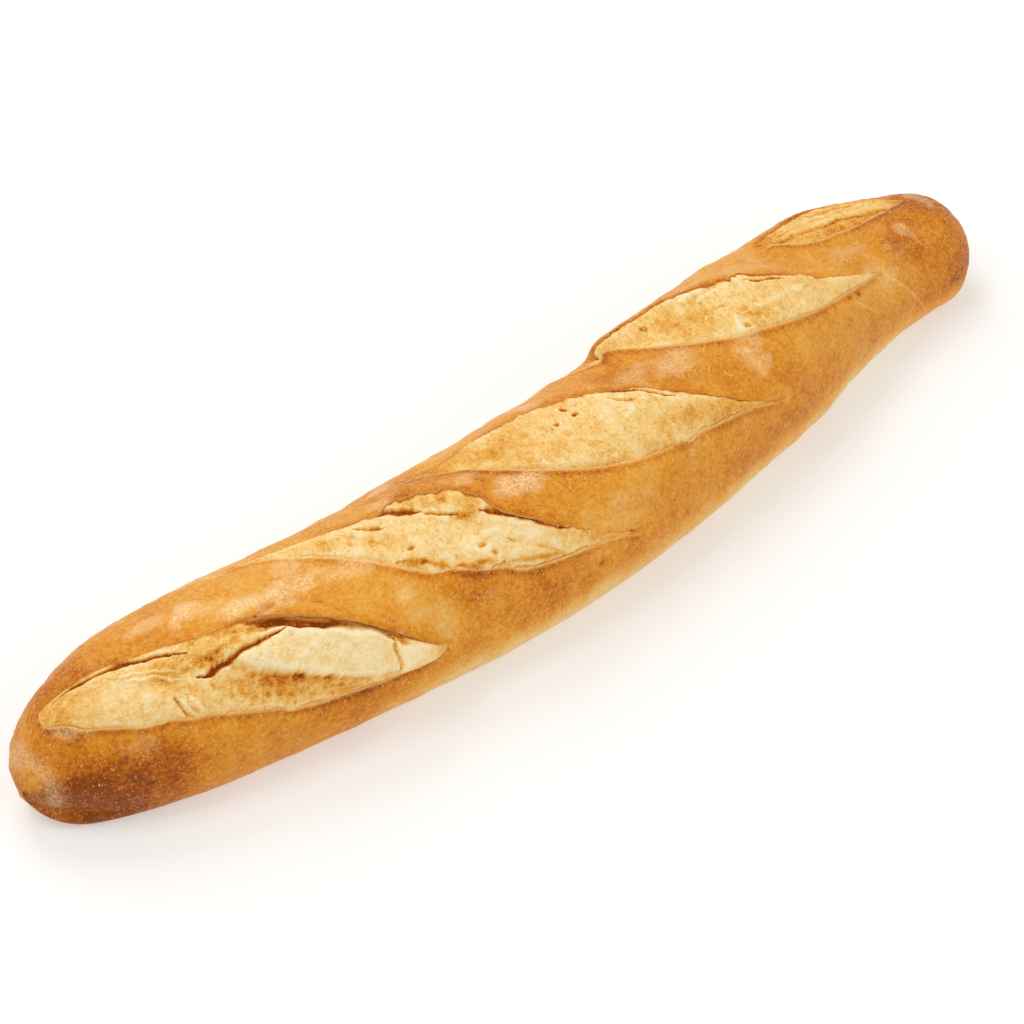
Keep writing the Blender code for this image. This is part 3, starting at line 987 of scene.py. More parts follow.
@dataclass(frozen=True)
class Patch:
    """A patch on the crust, for dust with a painted highlight or for flakes: its place, its half sizes and
    its strength.

    Its place is in millimetres along the spine and degrees from the crown, its half sizes in
    millimetres.
    """

    spine: float
    degrees: float
    length: float
    breadth: float
    strength: float = 0.9
    round_radius: float = 0.037

    def share(self, spine: np.ndarray, angle: np.ndarray) -> np.ndarray:
        """How much of the patch shows at spine distances and angles."""
        ahead = (spine - self.spine * MM) / (self.length * MM)
        aside = (angle - np.radians(self.degrees)) * self.round_radius / (self.breadth * MM)
        return self.strength * steps(np.hypot(ahead, aside), 1.5, 0.5)


@dataclass(frozen=True)
class BrowningAndShading:
    """How dark the skin baked, with painted shade and light: a middle value, clouds, and the broad zones
    that differ; the near flank is darker partly as painted shade and the low flank paler partly as painted
    bounce light.

    A zone is a strength with where it fades in and out: spans along the spine, or degrees
    from the crown.
    """

    middle: float = 0.49
    cloud: float = 0.22
    cloud_size: float = 26.0 * MM
    near_flank: float = 0.30
    near_flank_span: tuple[float, float] = (0.022, 0.036)
    near_flank_turn: tuple[float, float] = (36.0, 80.0)
    near_tip: float = 0.20
    near_tip_span: tuple[float, float] = (0.050, 0.010)
    far_end: float = 0.30
    far_end_span: tuple[float, float] = (0.395, 0.480)
    band: float = 0.10
    band_turn: tuple[float, float] = (84.0, 24.0)
    low_flank: float = 0.46
    low_flank_turn: tuple[float, float] = (88.0, 112.0)
    low_flank_span: tuple[float, float] = (0.09, 0.16)
    base: float = 0.10
    base_turn: tuple[float, float] = (150.0, 165.0)
    scorch: float = 0.26
    low_scorch: float = 0.8
    low_scorch_reach: float = 1.6 * MM
    ear_scorch: float = 0.3
    ear_scorch_gain: float = 90.0
    ear_scorch_reach: float = 1.8 * MM
    rim_reach: float = 0.7 * MM
    cut_face: float = 0.50
    cut_face_far: float = 0.22
    cut_face_span: tuple[float, float] = (0.25, 0.29)

    def skin(self, points: np.ndarray, spine: np.ndarray, degrees: np.ndarray) -> np.ndarray:
        """How dark the skin is, without its slashes and marks."""
        around = np.abs(degrees)
        bake = self.middle + self.cloud * Grain.layered(points, self.cloud_size, 71, 3)
        # Painted shade: the near flank is darker partly because it faces away from the light, partly as
        # darker crust.
        bake += self.near_flank * hump(spine, *self.near_flank_span) * steps(degrees, *self.near_flank_turn)
        bake += self.near_tip * steps(spine, *self.near_tip_span)
        bake += self.far_end * steps(spine, *self.far_end_span)
        bake += self.band * hump(degrees, *self.band_turn)
        # Painted bounce light: the low flank is paler partly as light thrown up from the floor, partly as
        # paler crust.
        bake -= self.low_flank * steps(around, *self.low_flank_turn) * steps(spine, *self.low_flank_span)
        bake -= self.base * steps(around, *self.base_turn)
        return bake

    def slashed(self, slash: Slash, spine: np.ndarray, angle: np.ndarray) -> tuple[np.ndarray, np.ndarray]:
        """The pale rim of a slash's low lip, and the scorching beside both lips."""
        along, offset = slash.local(spine, angle)
        inside = (along > 0.0) & (along < 1.0)
        below = offset - slash.low.at(along)
        behind = -offset - slash.high.at(along)
        low = hump(below, self.low_scorch_reach, self.low_scorch_reach) * self.low_scorch
        lifted = self.ear_scorch + self.ear_scorch_gain * slash.ear.at(along)
        high = hump(behind, 0.0, self.ear_scorch_reach) * lifted
        return inside * hump(below, 0.0, self.rim_reach), inside * np.maximum(low, high)

    def cut(self, spine: np.ndarray) -> np.ndarray:
        """How toasted the cut faces under the ears are."""
        return self.cut_face + self.cut_face_far * steps(spine, *self.cut_face_span)


@dataclass(frozen=True)
class DustAndHighlights:
    """Pale dust and painted highlights on the skin: faint clouds over the top, patches that are painted
    highlights as well as dust, and a streak at the nose.
    """

    cloud: float = 0.5
    cloud_size: float = 13.0 * MM
    cloud_edge: tuple[float, float] = (0.22, 0.48)
    cloud_turn: tuple[float, float] = (75.0, 40.0)
    ragged: float = 4.0 * MM
    ragged_size: float = 7.0 * MM
    streak: float = 0.55
    streak_at: float = 5.0 * MM
    streak_ragged: float = 0.4
    streak_reach: float = 2.2 * MM
    streak_turn: tuple[float, float] = (118.0, 100.0)
    # Painted highlights: these patches stand in for glossy highlights on the band tops, as well as for
    # dust.
    patches: tuple[Patch, ...] = (
        Patch(71, -7, 6, 4), Patch(85, 5, 8, 4.5), Patch(98, 10, 5, 4), Patch(108, 7, 6, 3.5, 0.8),
        Patch(57, -16, 6, 4, 0.6), Patch(65, -5, 2, 4, 0.7), Patch(194, 17, 9, 4.5),
        Patch(125, 12, 9, 4, 0.5), Patch(109, 4, 9, 3, 0.5), Patch(284, 8, 12, 5, 0.6),
        Patch(267, -3, 9, 4, 0.5), Patch(311, 36, 4, 7, 0.4), Patch(398, 20, 12, 4, 0.35),
        Patch(440, -8, 6, 4, 0.3),
    )

    def skin(self, points: np.ndarray, spine: np.ndarray, angle: np.ndarray) -> np.ndarray:
        """How dusty the skin is, with its painted highlight patches."""
        around = np.abs(np.degrees(angle))
        clouds = steps(Grain.layered(points, self.cloud_size, 91, 3), *self.cloud_edge)
        dust = self.cloud * clouds * steps(around, *self.cloud_turn)
        ragged = self.ragged * Grain.layered(points, self.ragged_size, 95, 3)
        for patch in self.patches:
            dust = np.maximum(dust, patch.share(spine + ragged, angle + ragged / patch.round_radius))
        streak = hump(spine, self.streak_at + ragged * self.streak_ragged, self.streak_reach)
        return np.maximum(dust, self.streak * (streak * steps(around, *self.streak_turn)))


@dataclass(frozen=True)
class Pocket:
    """Sizes of the cut under a slash: its thin ear, its undercut and its floor."""

    top: float = 16.0 * MM
    opening: float = 0.6
    ear_edge: float = 0.3 * MM
    ear_body: float = 1.1 * MM
    ear_drop: float = 1.8 * MM
    floor: float = 1.0 * MM
    middle: float = 1.2 * MM
    low_share: float = 0.6
    low_tuck: float = 0.1 * MM
    low_wall: float = 1.2 * MM
    pitch: float = 0.6 * MM
    trial: float = 3.3


@dataclass
class Crust:
    """The loaf's skin: lumps, lifted ears, and the pockets that the slashes opened."""

    form: LoafForm
    slashes: tuple[Slash, ...]
    browning_and_shading: BrowningAndShading = BrowningAndShading()
    dust_and_highlights: DustAndHighlights = DustAndHighlights()
    pocket: Pocket = Pocket()
    pitch: float = 1.0 * MM
    end_span: float = 0.030
    end_share: float = 1.4
    ear_span: float = 0.036
    fine_turn: float = np.radians(116.0)
    fine_radius: float = 0.036
    base_breadth: float = 0.075
    base_pitch: float = 3.5 * MM
    base_fade: tuple[float, float] = (np.radians(134.0), np.radians(108.0))
    lump: float = 1.3 * MM
    lump_size: float = 34.0 * MM
    wave: float = 0.75 * MM
    wave_size: float = 11.0 * MM
    pebble: float = 0.18 * MM
    pebble_size: float = 3.0 * MM
    crease: float = 1.8 * MM
    crease_turn: tuple[float, float] = (112.0, 7.0)
    bulge: float = 0.9 * MM
    bulge_turn: tuple[float, float] = (84.0, 16.0)
    fold_span: tuple[float, float] = (0.034, 0.012)
    fold_start: float = 0.004
    sharp: float = 42.0
    round_radius: float = 0.037
    shift: np.ndarray | None = None
    flakes: tuple[Patch, ...] = (
        Patch(298, 18, 9, 5, 1.0), Patch(310, 34, 9, 6, 1.0), Patch(286, 25, 5, 4, 0.6),
        Patch(214, 31, 8, 5, 0.5), Patch(415, 19, 10, 5, 1.0), Patch(392, 22, 8, 4, 0.6),
        Patch(64, -8, 6, 4, 0.5), Patch(80, 93, 12, 7, 0.3),
    )

    def lumps(self, spine: np.ndarray, angle: np.ndarray) -> np.ndarray:
        """Broad lumps of the dough, which the crumb follows too."""
        height = Grain.layered(self.form.point(spine, angle), self.lump_size, 5, 2) * self.lump
        return height * self.fade(angle)

    def fade(self, angle: np.ndarray) -> np.ndarray:
        """1 over the top and flanks, 0 on the flat base."""
        return steps(np.abs(angle), *self.base_fade)

    def ears(self, spine: np.ndarray, angle: np.ndarray) -> np.ndarray:
        """Lift of the crust behind the ears."""
        lift = sum(slash.ear_lift(spine, angle) for slash in self.slashes)
        ends = np.clip(np.minimum(spine, self.form.spine_length - spine) / self.ear_span, 0.0, 1.0)
        return lift * self.fade(angle) * ends

    def relief(self, spine: np.ndarray, angle: np.ndarray) -> np.ndarray:
        """Whole height of the crust over the plain loaf."""
        points = self.form.point(spine, angle)
        height = self.lumps(spine, angle) + self.ears(spine, angle)
        small = Grain.layered(points, self.wave_size, 15, 3) * self.wave
        small = small + Grain.layered(points, self.pebble_size, 25, 2) * self.pebble
        small = small + self.nose_fold(spine, angle)
        for mark in CRUST_MARKS:
            small = small + mark.share(spine, angle * self.round_radius) * mark.height * MM
        return height + small * self.fade(angle)

    def nose_fold(self, spine: np.ndarray, angle: np.ndarray) -> np.ndarray:
        """The dough folded under the near end: a bulge over a crease."""
        degrees = np.degrees(np.abs(angle))
        near = steps(spine, *self.fold_span)
        crease = hump(degrees, *self.crease_turn) * -self.crease
        bulge = hump(degrees, *self.bulge_turn) * self.bulge
        return (crease + bulge) * near * steps(spine, 0.0, self.fold_start)

    def distances(self) -> np.ndarray:
        """Spine distances of the rings, closer together towards both ends."""
        pitch = tried(self.pitch)
        count = int(self.end_span / pitch * self.end_share)
        turn = np.linspace(0.0, np.pi / 2.0, count + 1)[1:]
        end = self.end_span * (1.0 - np.cos(turn))
        whole = self.form.spine_length
        middle = np.linspace(self.end_span, whole - self.end_span, int((whole - 2 * self.end_span) / pitch))
        return np.concatenate([end, middle[1:-1], whole - end[::-1]])

    def angles(self) -> np.ndarray:
        """Angles round a ring, finer over the top and flanks than under the base."""
        top = self.fine_turn
        fine = np.linspace(-top, top, int(2 * top * self.fine_radius / tried(self.pitch)))
        coarse = np.linspace(top, 2 * np.pi - top, int(self.base_breadth / self.base_pitch))[1:-1]
        coarse = np.where(coarse > np.pi, coarse - 2 * np.pi, coarse)
        return np.concatenate([fine, coarse])

    def align(self) -> None:
        """Finds the shift in plan that centres the loaf on the frame's own box."""
        along, around = 160, 90
        spine, angle = np.meshgrid(np.linspace(0.0, self.form.spine_length, along),
                                   np.linspace(-np.pi, np.pi, around), indexing="ij")
        points = self.form.raised(spine, angle, self.ears(spine, angle)).reshape(-1, 3)
        centre = (points.min(axis=0) + points.max(axis=0)) / 2.0
        low, high = (np.array(corner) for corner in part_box("loaf"))
        self.shift = (low + high) / 2.0 - centre
        self.shift[2] = 0.0

    def skin(self) -> bpy.types.Mesh:
        """The closed skin before it is slashed."""
        spine, angle = np.meshgrid(self.distances(), self.angles(), indexing="ij")
        rings = self.form.raised(spine, angle, self.relief(spine, angle)) + self.shift
        rings[..., 2] = np.maximum(rings[..., 2], 0.0)
        ends = self.form.point(np.array([0.0, self.form.spine_length]), np.zeros(2)) + self.shift
        return Meshes.closed_grid("crust", rings, (ends[0], ends[1]))

    def cutter(self, slash: Slash) -> bpy.types.Mesh:
        """The air over a slash and the pocket under it, with an undercut ear."""
        pocket = self.pocket
        count = int(slash.length / tried(pocket.pitch))
        along = (1.0 - np.cos(np.linspace(0.0, np.pi, count))) / 2.0
        low, high = slash.lips(along)
        high = -high
        opening = slash.swell(along) ** pocket.opening
        lift = self.ears(*slash.place(along, high)) + self.lumps(*slash.place(along, high))
        back = high - slash.undercut * opening
        thin = lift - (pocket.ear_edge + pocket.ear_body * opening)
        over = np.full(count, pocket.top)
        rows = (
            (high, over),
            (high, thin),
            (back, thin - pocket.ear_drop * opening),
            (back, -slash.depth * opening - pocket.floor),
            ((high + low) / 2.0, -slash.depth * opening - pocket.middle),
            (low + pocket.low_tuck, -slash.depth * pocket.low_share * opening - pocket.floor),
            (low, np.full(count, -pocket.low_wall)),
            (low, over),
        )
        offset = np.stack([row[0] for row in rows], axis=1)
        height = np.stack([row[1] for row in rows], axis=1)
        spine, angle = slash.place(along[:, None], offset)
        rings = self.form.raised(spine, angle, height) + self.shift
        return Meshes.closed_grid(slash.name + "_cutter", rings)

    def build(self, crust: bpy.types.Material, crumb: bpy.types.Material) -> bpy.types.Object:
        """Makes, slashes and dresses the skin."""
        body = Meshes.linked("crust_body", self.skin())
        cutters = []
        for slash in self.slashes:
            cutter = Meshes.linked(slash.name + "_cutter", self.cutter(slash))
            for owner in (body, cutter):
                if not owner.data.materials:
                    owner.data.materials.append(crust)
                    owner.data.materials.append(crumb)
            cutter.data.polygons.foreach_set("material_index", [1] * len(cutter.data.polygons))
            cut = body.modifiers.new(slash.name, "BOOLEAN")
            cut.operation = "DIFFERENCE"
            cut.solver = "EXACT"
            cut.object = cutter
            cutters.append(cutter)
        mesh = Meshes.baked(body, "crust")
        for obj in (body, *cutters):
            bpy.data.objects.remove(obj, do_unlink=True)
        self.dress(mesh)
        Meshes.finish(mesh, self.sharp)
        log.info("crust: %d faces", len(mesh.polygons))
        return Meshes.linked("crust", mesh)

    def dress(self, mesh: bpy.types.Mesh) -> None:
        """Paints how the skin browned, with painted shade on the near flank and painted bounce light on the
        low flank, its dust with painted highlights, and its rims.
        """
        points = Meshes.points(mesh) - self.shift
        spine, angle = self.form.unrolled(points)
        bake = self.browning_and_shading.skin(points, spine, np.degrees(angle))
        rim = np.zeros(len(points))
        scorch = np.zeros(len(points))
        for slash in self.slashes:
            pale, dark = self.browning_and_shading.slashed(slash, spine, angle)
            rim = np.maximum(rim, pale)
            scorch = np.maximum(scorch, dark)
        for mark in CRUST_MARKS:
            bake += mark.share(spine, angle * self.round_radius) * mark.toast
        bake += self.browning_and_shading.scorch * scorch
        Meshes.paint(mesh, "flakes", sum(patch.share(spine, angle) for patch in self.flakes))
        Meshes.paint(mesh, "bake", bake)
        Meshes.paint(mesh, "dust", self.dust_and_highlights.skin(points, spine, angle))
        Meshes.paint(mesh, "rim", rim)
        Meshes.paint(mesh, "toast", self.browning_and_shading.cut(spine))


@dataclass(frozen=True)
class Tearing:
    """Sizes of what covers the crumb: each height or depth, and how large its features are."""

    broad: float = 0.9 * MM
    broad_size: float = 12.0 * MM
    ledge: float = 0.5 * MM
    ledge_edge: tuple[float, float] = (-0.08, 0.10)
    ledge_size: float = 12.0 * MM
    step: float = 0.25 * MM
    step_edge: tuple[float, float] = (-0.05, 0.12)
    step_size: float = 6.0 * MM
    fibre_size: float = 2.4 * MM
    fibre_stretch: float = 0.22
    grain: float = 0.30 * MM
    grain_size: float = 2.6 * MM
    bead: float = 0.45 * MM
    bead_size: float = 1.15 * MM
    bead_least: float = 0.4
    bead_patch: float = 5.0 * MM
    bead_bare: float = 0.35
    pore: float = 0.8 * MM
    pore_size: float = 4.6 * MM
    pore_stretch: float = 0.7
    pore_edge: tuple[float, float] = (0.36, 0.10)
    pore_least: float = 0.4
    shake: float = 0.6 * MM
    shake_size: float = 1.6 * MM

    def height(self, slash: Slash, bent: np.ndarray, flat: np.ndarray) -> np.ndarray:
        """Torn ledges, fibres, granules and pores, at places in the slash's own plane."""
        seed = slash.seed
        turn = np.radians(slash.fibre_slant)
        ahead = bent[..., 0] * np.cos(turn) + bent[..., 1] * np.sin(turn)
        aside = bent[..., 1] * np.cos(turn) - bent[..., 0] * np.sin(turn)
        broad = Grain.layered(flat, self.broad_size, seed + 1, 3) * self.broad
        ledges = steps(Grain.layered(bent, self.ledge_size, seed + 71, 4), *self.ledge_edge) * self.ledge
        small = steps(Grain.layered(bent, self.step_size, seed + 77, 4), *self.step_edge) * self.step
        fibre = Grain.layered(plane(ahead * self.fibre_stretch, aside), self.fibre_size, seed + 5, 4)
        fibre = (1.0 - np.abs(fibre) * 2.0) * slash.fibre * MM
        rough = Grain.layered(flat, self.grain_size, seed + 8, 2) * self.grain
        beads, own_bead = Grain.cells(bent, self.bead_size, seed + 15)
        beads = 1.0 - np.minimum(beads, 1.0) ** 2
        beads = beads * (self.bead_least + (1.0 - self.bead_least) * own_bead) * self.bead
        dense = steps(Grain.layered(bent, self.bead_patch, seed + 18, 2), -0.3, 0.3)
        beads = beads * (self.bead_bare + (1.0 - self.bead_bare) * dense)
        shaken = bent + self.shake * Grain.layered(flat, self.shake_size, seed + 28, 2)[..., None]
        stretched = shaken * np.array([self.pore_stretch, 1.0, 1.0])
        distance, own = Grain.cells(stretched, self.pore_size, seed + 20)
        pit = steps(distance, *self.pore_edge) * (own < slash.pore_share) * (self.pore_least + own)
        torn = (ledges + small + fibre) * slash.torn + rough + beads
        return broad + torn - pit * self.pore


@dataclass
class Crumb:
    """The crumb that rose through one slash: domed, torn and pored.

    A hollow shade is a reach in steps of the grid, with how much painted shade darkens a hollow of that
    reach.
    """

    crust: Crust
    slash: Slash
    tearing: Tearing = Tearing()
    pitch: float = 0.36 * MM
    tip_turn: float = 0.06
    tuck: float = 1.4 * MM
    ear_tuck: float = 1.4 * MM
    low_sink: float = 0.35 * MM
    sink_at_tips: float = 0.3
    dome_gain: float = 3.2
    dome_lean: float = 0.8
    fullness: float = 0.6
    gape_least: float = 0.25
    gape_size: float = 17.0 * MM
    gape_edge: tuple[float, float] = (-0.25, 0.35)
    gape_span: tuple[float, float] = (0.86, 1.02)
    mottle: float = 0.16
    mottle_size: float = 11.0 * MM
    fleck: float = 0.13
    fleck_size: float = 3.6 * MM
    tip_toast: float = 0.22
    tip_span: float = 0.20
    ear_shade: float = 0.26
    ear_shade_span: tuple[float, float] = (0.92, 1.02)
    bend: float = 1.3 * MM
    bend_size: float = 6.0 * MM
    hollow_shade: tuple[tuple[int, float], ...] = ((2, 0.60), (9, 0.14))
    keel: float = 8.0 * MM
    keel_least: float = 1.0 * MM
    sharp: float = 60.0

    def domed(self, run: np.ndarray, share: np.ndarray, swell: np.ndarray) -> np.ndarray:
        """The crumb's dome, sunk at the low lip and gaping under the ear."""
        slash = self.slash
        inner = np.clip(share, 0.0, 1.0)
        profile = slash.dome * self.dome_gain * inner ** self.dome_lean * (1.0 - inner)
        profile = profile - self.low_sink * (self.sink_at_tips + (1.0 - self.sink_at_tips) * swell)
        profile = profile * np.where(profile > 0.0, swell, 1.0)
        gaping = Grain.smooth(plane(run, np.full_like(run, 3.7)), self.gape_size, slash.seed + 41)
        gaping = self.gape_least + (1.0 - self.gape_least) * steps(gaping, *self.gape_edge)
        gaping = slash.groove * gaping
        return profile - gaping * MM * steps(share, *self.gape_span) * swell

    def toasted(self, along: np.ndarray, flat: np.ndarray) -> np.ndarray:
        """How toasted the crumb is before its features: mottled, and more so at the tips."""
        slash = self.slash
        mottle = self.mottle * Grain.layered(flat, self.mottle_size, slash.seed + 81, 3)
        mottle = mottle + self.fleck * Grain.layered(flat, self.fleck_size, slash.seed + 85, 3)
        tips = steps(along, 1.0 - self.tip_span, 1.0) + steps(along, self.tip_span, 0.0)
        return slash.toast + mottle * slash.mottle + self.tip_toast * tips

    def heights(
        self, along: np.ndarray, offset: np.ndarray, share: np.ndarray
    ) -> tuple[np.ndarray, np.ndarray]:
        """Height over the plain loaf and toasting, by place in the slash.

        Args:
            along: 0 to 1 between the tips.
            offset: Distance across, towards the low lip.
            share: 0 at the low lip to 1 at the ear.

        Returns:
            Heights, and toasting from 0 to 1, partly painted shade under the ear and in sunk features.
        """
        slash = self.slash
        spine, angle = slash.place(along, offset)
        run = along * slash.length
        swell = slash.swell(along) ** self.fullness
        flat = plane(run, offset)
        profile = self.domed(run, share, swell)
        profile += self.crust.ears(spine, angle) * slash.follow * steps(share, 0.2, 1.0)
        toast = self.toasted(along, flat)
        bent_run = run + self.bend * Grain.layered(flat, self.bend_size, slash.seed + 51, 3)
        bent_offset = offset + self.bend * Grain.layered(flat, self.bend_size, slash.seed + 61, 3)
        edge = steps(share, -0.02, 0.07) * steps(share, 1.1, 0.9)
        # Feature toasting: in sunk tears and hollows this is partly painted shade.
        for feature in slash.features:
            part = feature.share(bent_run, bent_offset)
            profile += part * feature.height * MM * edge
            toast += part * feature.toast
        texture = self.tearing.height(slash, plane(bent_run, bent_offset), flat)
        profile += texture * edge * (0.30 + 0.70 * swell)
        # Painted shade: the crumb darkens where it tucks under the ear.
        toast += self.ear_shade * steps(share, *self.ear_shade_span) * swell
        return profile + self.crust.lumps(spine, angle), toast

    @staticmethod
    def softened(height: np.ndarray, reach: int) -> np.ndarray:
        """A grid of heights averaged over some steps each way."""
        for axis in (0, 1):
            padding = [(0, 0), (0, 0)]
            padding[axis] = (reach + 1, reach)
            summed = np.cumsum(np.pad(height, padding, mode="edge"), axis=axis)
            upper, lower = [slice(None)] * 2, [slice(None)] * 2
            upper[axis], lower[axis] = slice(2 * reach + 1, None), slice(None, -2 * reach - 1)
            height = (summed[tuple(upper)] - summed[tuple(lower)]) / (2 * reach + 1)
        return height

    def build(self, material: bpy.types.Material) -> bpy.types.Object:
        """Makes and dresses the crumb."""
        slash = self.slash
        pitch = tried(self.pitch)
        count = int(slash.length / pitch)
        turn = np.linspace(self.tip_turn, np.pi - self.tip_turn, count)
        along = (1.0 - np.cos(turn)) / 2.0
        swell = slash.swell(along) ** 0.5
        low, high = slash.lips(along)
        across = int(float((low + high).max()) / pitch)
        mix = np.linspace(0.0, 1.0, across)[None, :]
        first = (low + self.tuck * swell)[:, None]
        last = -(high + (self.tuck + self.ear_tuck) * swell)[:, None]
        offset = first * (1.0 - mix) + last * mix
        share = (low[:, None] - offset) / (low + high)[:, None]
        along_grid = np.broadcast_to(along[:, None], offset.shape)
        height, toast = self.heights(along_grid, offset, share)
        # Painted shade: hollows are darkened and bumps paled against their softened surroundings.
        for reach, gain in self.hollow_shade:
            toast -= (height - self.softened(height, reach)) / MM * gain
        keel = -(self.keel_least + self.keel * swell)[:, None]
        keel = np.minimum(keel, height.min(axis=1, keepdims=True) - 0.5 * MM)
        offset = np.concatenate([offset, (offset[:, :1] + offset[:, -1:]) / 2.0], axis=1)
        height = np.concatenate([height, keel], axis=1)
        toast = np.concatenate([toast, toast[:, :1]], axis=1)
        spine, angle = slash.place(along[:, None], offset)
        rings = self.crust.form.raised(spine, angle, height) + self.crust.shift
        mesh = Meshes.closed_grid(slash.name + "_crumb", rings)
        Meshes.paint(mesh, "toast", toast.reshape(-1))
        mesh.materials.append(material)
        Meshes.finish(mesh, self.sharp)
        log.info("%s crumb: %d faces", slash.name, len(mesh.polygons))
        return Meshes.linked(slash.name + "_crumb", mesh)


class Bits(Enum):
    """Shapes that a scatter strews."""

    GRAIN = "grain"
    CURL = "curl"


@dataclass(frozen=True)
class Scatter:
    """Small bits strewn over a surface by Geometry Nodes, each lying along it.

    Density is per square metre. Bits gather where the surface's own attribute is high,
    if one is named, and only where the surface faces up by more than a limit.
    """

    name: str
    bits: Bits
    density: float
    smallest: float
    largest: float
    flatness: float
    facing: float
    seed: int
    gather: str = ""
    patch: float = 14.0 * MM
    patch_edge: tuple[float, float] = (0.38, 0.62)
    sparse: float = 0.12
    curl_sweep: float = 2.3
    curl_breadth: float = 0.045
    trial: float = 0.25

    def node(
        self,
        tree: bpy.types.NodeTree,
        kind: str,
        settings: dict[str, Any],
        inputs: dict[Any, Any],
        output: Any = 0,
    ) -> bpy.types.NodeSocket:
        """Makes a node and returns one of its outputs."""
        node = tree.nodes.new(kind)
        for key, value in settings.items():
            setattr(node, key, value)
        for key, value in inputs.items():
            if isinstance(value, bpy.types.NodeSocket):
                tree.links.new(value, node.inputs[key])
            else:
                node.inputs[key].default_value = value
        return node.outputs[output]

    def shape(self, tree: bpy.types.NodeTree) -> bpy.types.NodeSocket:
        """One bit, about a unit across."""
        if self.bits is Bits.GRAIN:
            return self.node(tree, "GeometryNodeMeshIcoSphere", {}, {"Radius": 0.5, "Subdivisions": 1})
        arc = self.node(tree, "GeometryNodeCurveArc", {},
                        {"Resolution": 7, "Radius": 0.5, "Sweep Angle": self.curl_sweep})
        rim = self.node(tree, "GeometryNodeCurvePrimitiveCircle", {},
                        {"Resolution": 4, "Radius": self.curl_breadth})
        return self.node(tree, "GeometryNodeCurveToMesh", {}, {0: arc, 1: rim, "Fill Caps": True})

    def tree(self, material: bpy.types.Material) -> bpy.types.NodeTree:
        """The node tree, with named inputs."""
        tree = bpy.data.node_groups.new(self.name, "GeometryNodeTree")
        tree.interface.new_socket("Surface", in_out="INPUT", socket_type="NodeSocketGeometry")
        for name in ("Density", "Smallest", "Largest", "Flatness", "Facing", "Patch"):
            tree.interface.new_socket(name, in_out="INPUT", socket_type="NodeSocketFloat")
        tree.interface.new_socket("Seed", in_out="INPUT", socket_type="NodeSocketInt")
        tree.interface.new_socket("Bits", in_out="OUTPUT", socket_type="NodeSocketGeometry")
        given = tree.nodes.new("NodeGroupInput").outputs
        normal = self.node(tree, "GeometryNodeInputNormal", {}, {})
        upward = self.node(tree, "ShaderNodeSeparateXYZ", {}, {0: normal}, "Z")
        compare = "FunctionNodeCompare"
        faces = self.node(tree, compare, {"operation": "GREATER_THAN"}, {0: upward, 1: given["Facing"]})
        index = self.node(tree, "GeometryNodeInputMaterialIndex", {}, {})
        whole = {"data_type": "INT", "operation": "EQUAL"}
        first = self.node(tree, compare, whole, {2: index, 3: 0})
        chosen = self.node(tree, "FunctionNodeBooleanMath", {"operation": "AND"}, {0: faces, 1: first})
        if self.gather:
            share = self.node(tree, "GeometryNodeInputNamedAttribute", {"data_type": "FLOAT"},
                              {"Name": self.gather})
        else:
            scale = self.node(tree, "ShaderNodeMath", {"operation": "DIVIDE"}, {0: 1.0, 1: given["Patch"]})
            noise = self.node(tree, "ShaderNodeTexNoise", {}, {"Scale": scale, "Detail": 2.0})
            low, high = self.patch_edge
            share = self.node(tree, "ShaderNodeMapRange", {},
                              {0: noise, 1: low, 2: high, 3: self.sparse, 4: 1.0})
        times = {"operation": "MULTIPLY"}
        density = self.node(tree, "ShaderNodeMath", times, {0: share, 1: given["Density"]})
        spread = tree.nodes.new("GeometryNodeDistributePointsOnFaces")
        for key, value in (("Mesh", given["Surface"]), ("Selection", chosen), ("Density", density),
                           ("Seed", given["Seed"])):
            tree.links.new(value, spread.inputs[key])
        size = self.node(tree, "FunctionNodeRandomValue", {"data_type": "FLOAT"},
                         {2: given["Smallest"], 3: given["Largest"], "Seed": given["Seed"]}, 1)
        thin = self.node(tree, "ShaderNodeMath", times, {0: size, 1: given["Flatness"]})
        scale = self.node(tree, "ShaderNodeCombineXYZ", {}, {0: size, 1: size, 2: thin})
        placed = self.node(tree, "GeometryNodeInstanceOnPoints", {},
                           {"Points": spread.outputs["Points"], "Instance": self.shape(tree),
                            "Rotation": spread.outputs["Rotation"], "Scale": scale})
        turn = self.node(tree, "FunctionNodeRandomValue", {"data_type": "FLOAT"},
                         {2: 0.0, 3: 6.28, "Seed": 3}, 1)
        spin = self.node(tree, "ShaderNodeCombineXYZ", {}, {2: turn})
        spun = self.node(tree, "GeometryNodeRotateInstances", {}, {"Instances": placed, "Rotation": spin})
        real = self.node(tree, "GeometryNodeRealizeInstances", {}, {0: spun})
        ready = self.node(tree, "GeometryNodeSetMaterial", {}, {"Geometry": real, "Material": material})
        tree.links.new(ready, tree.nodes.new("NodeGroupOutput").inputs["Bits"])
        return tree

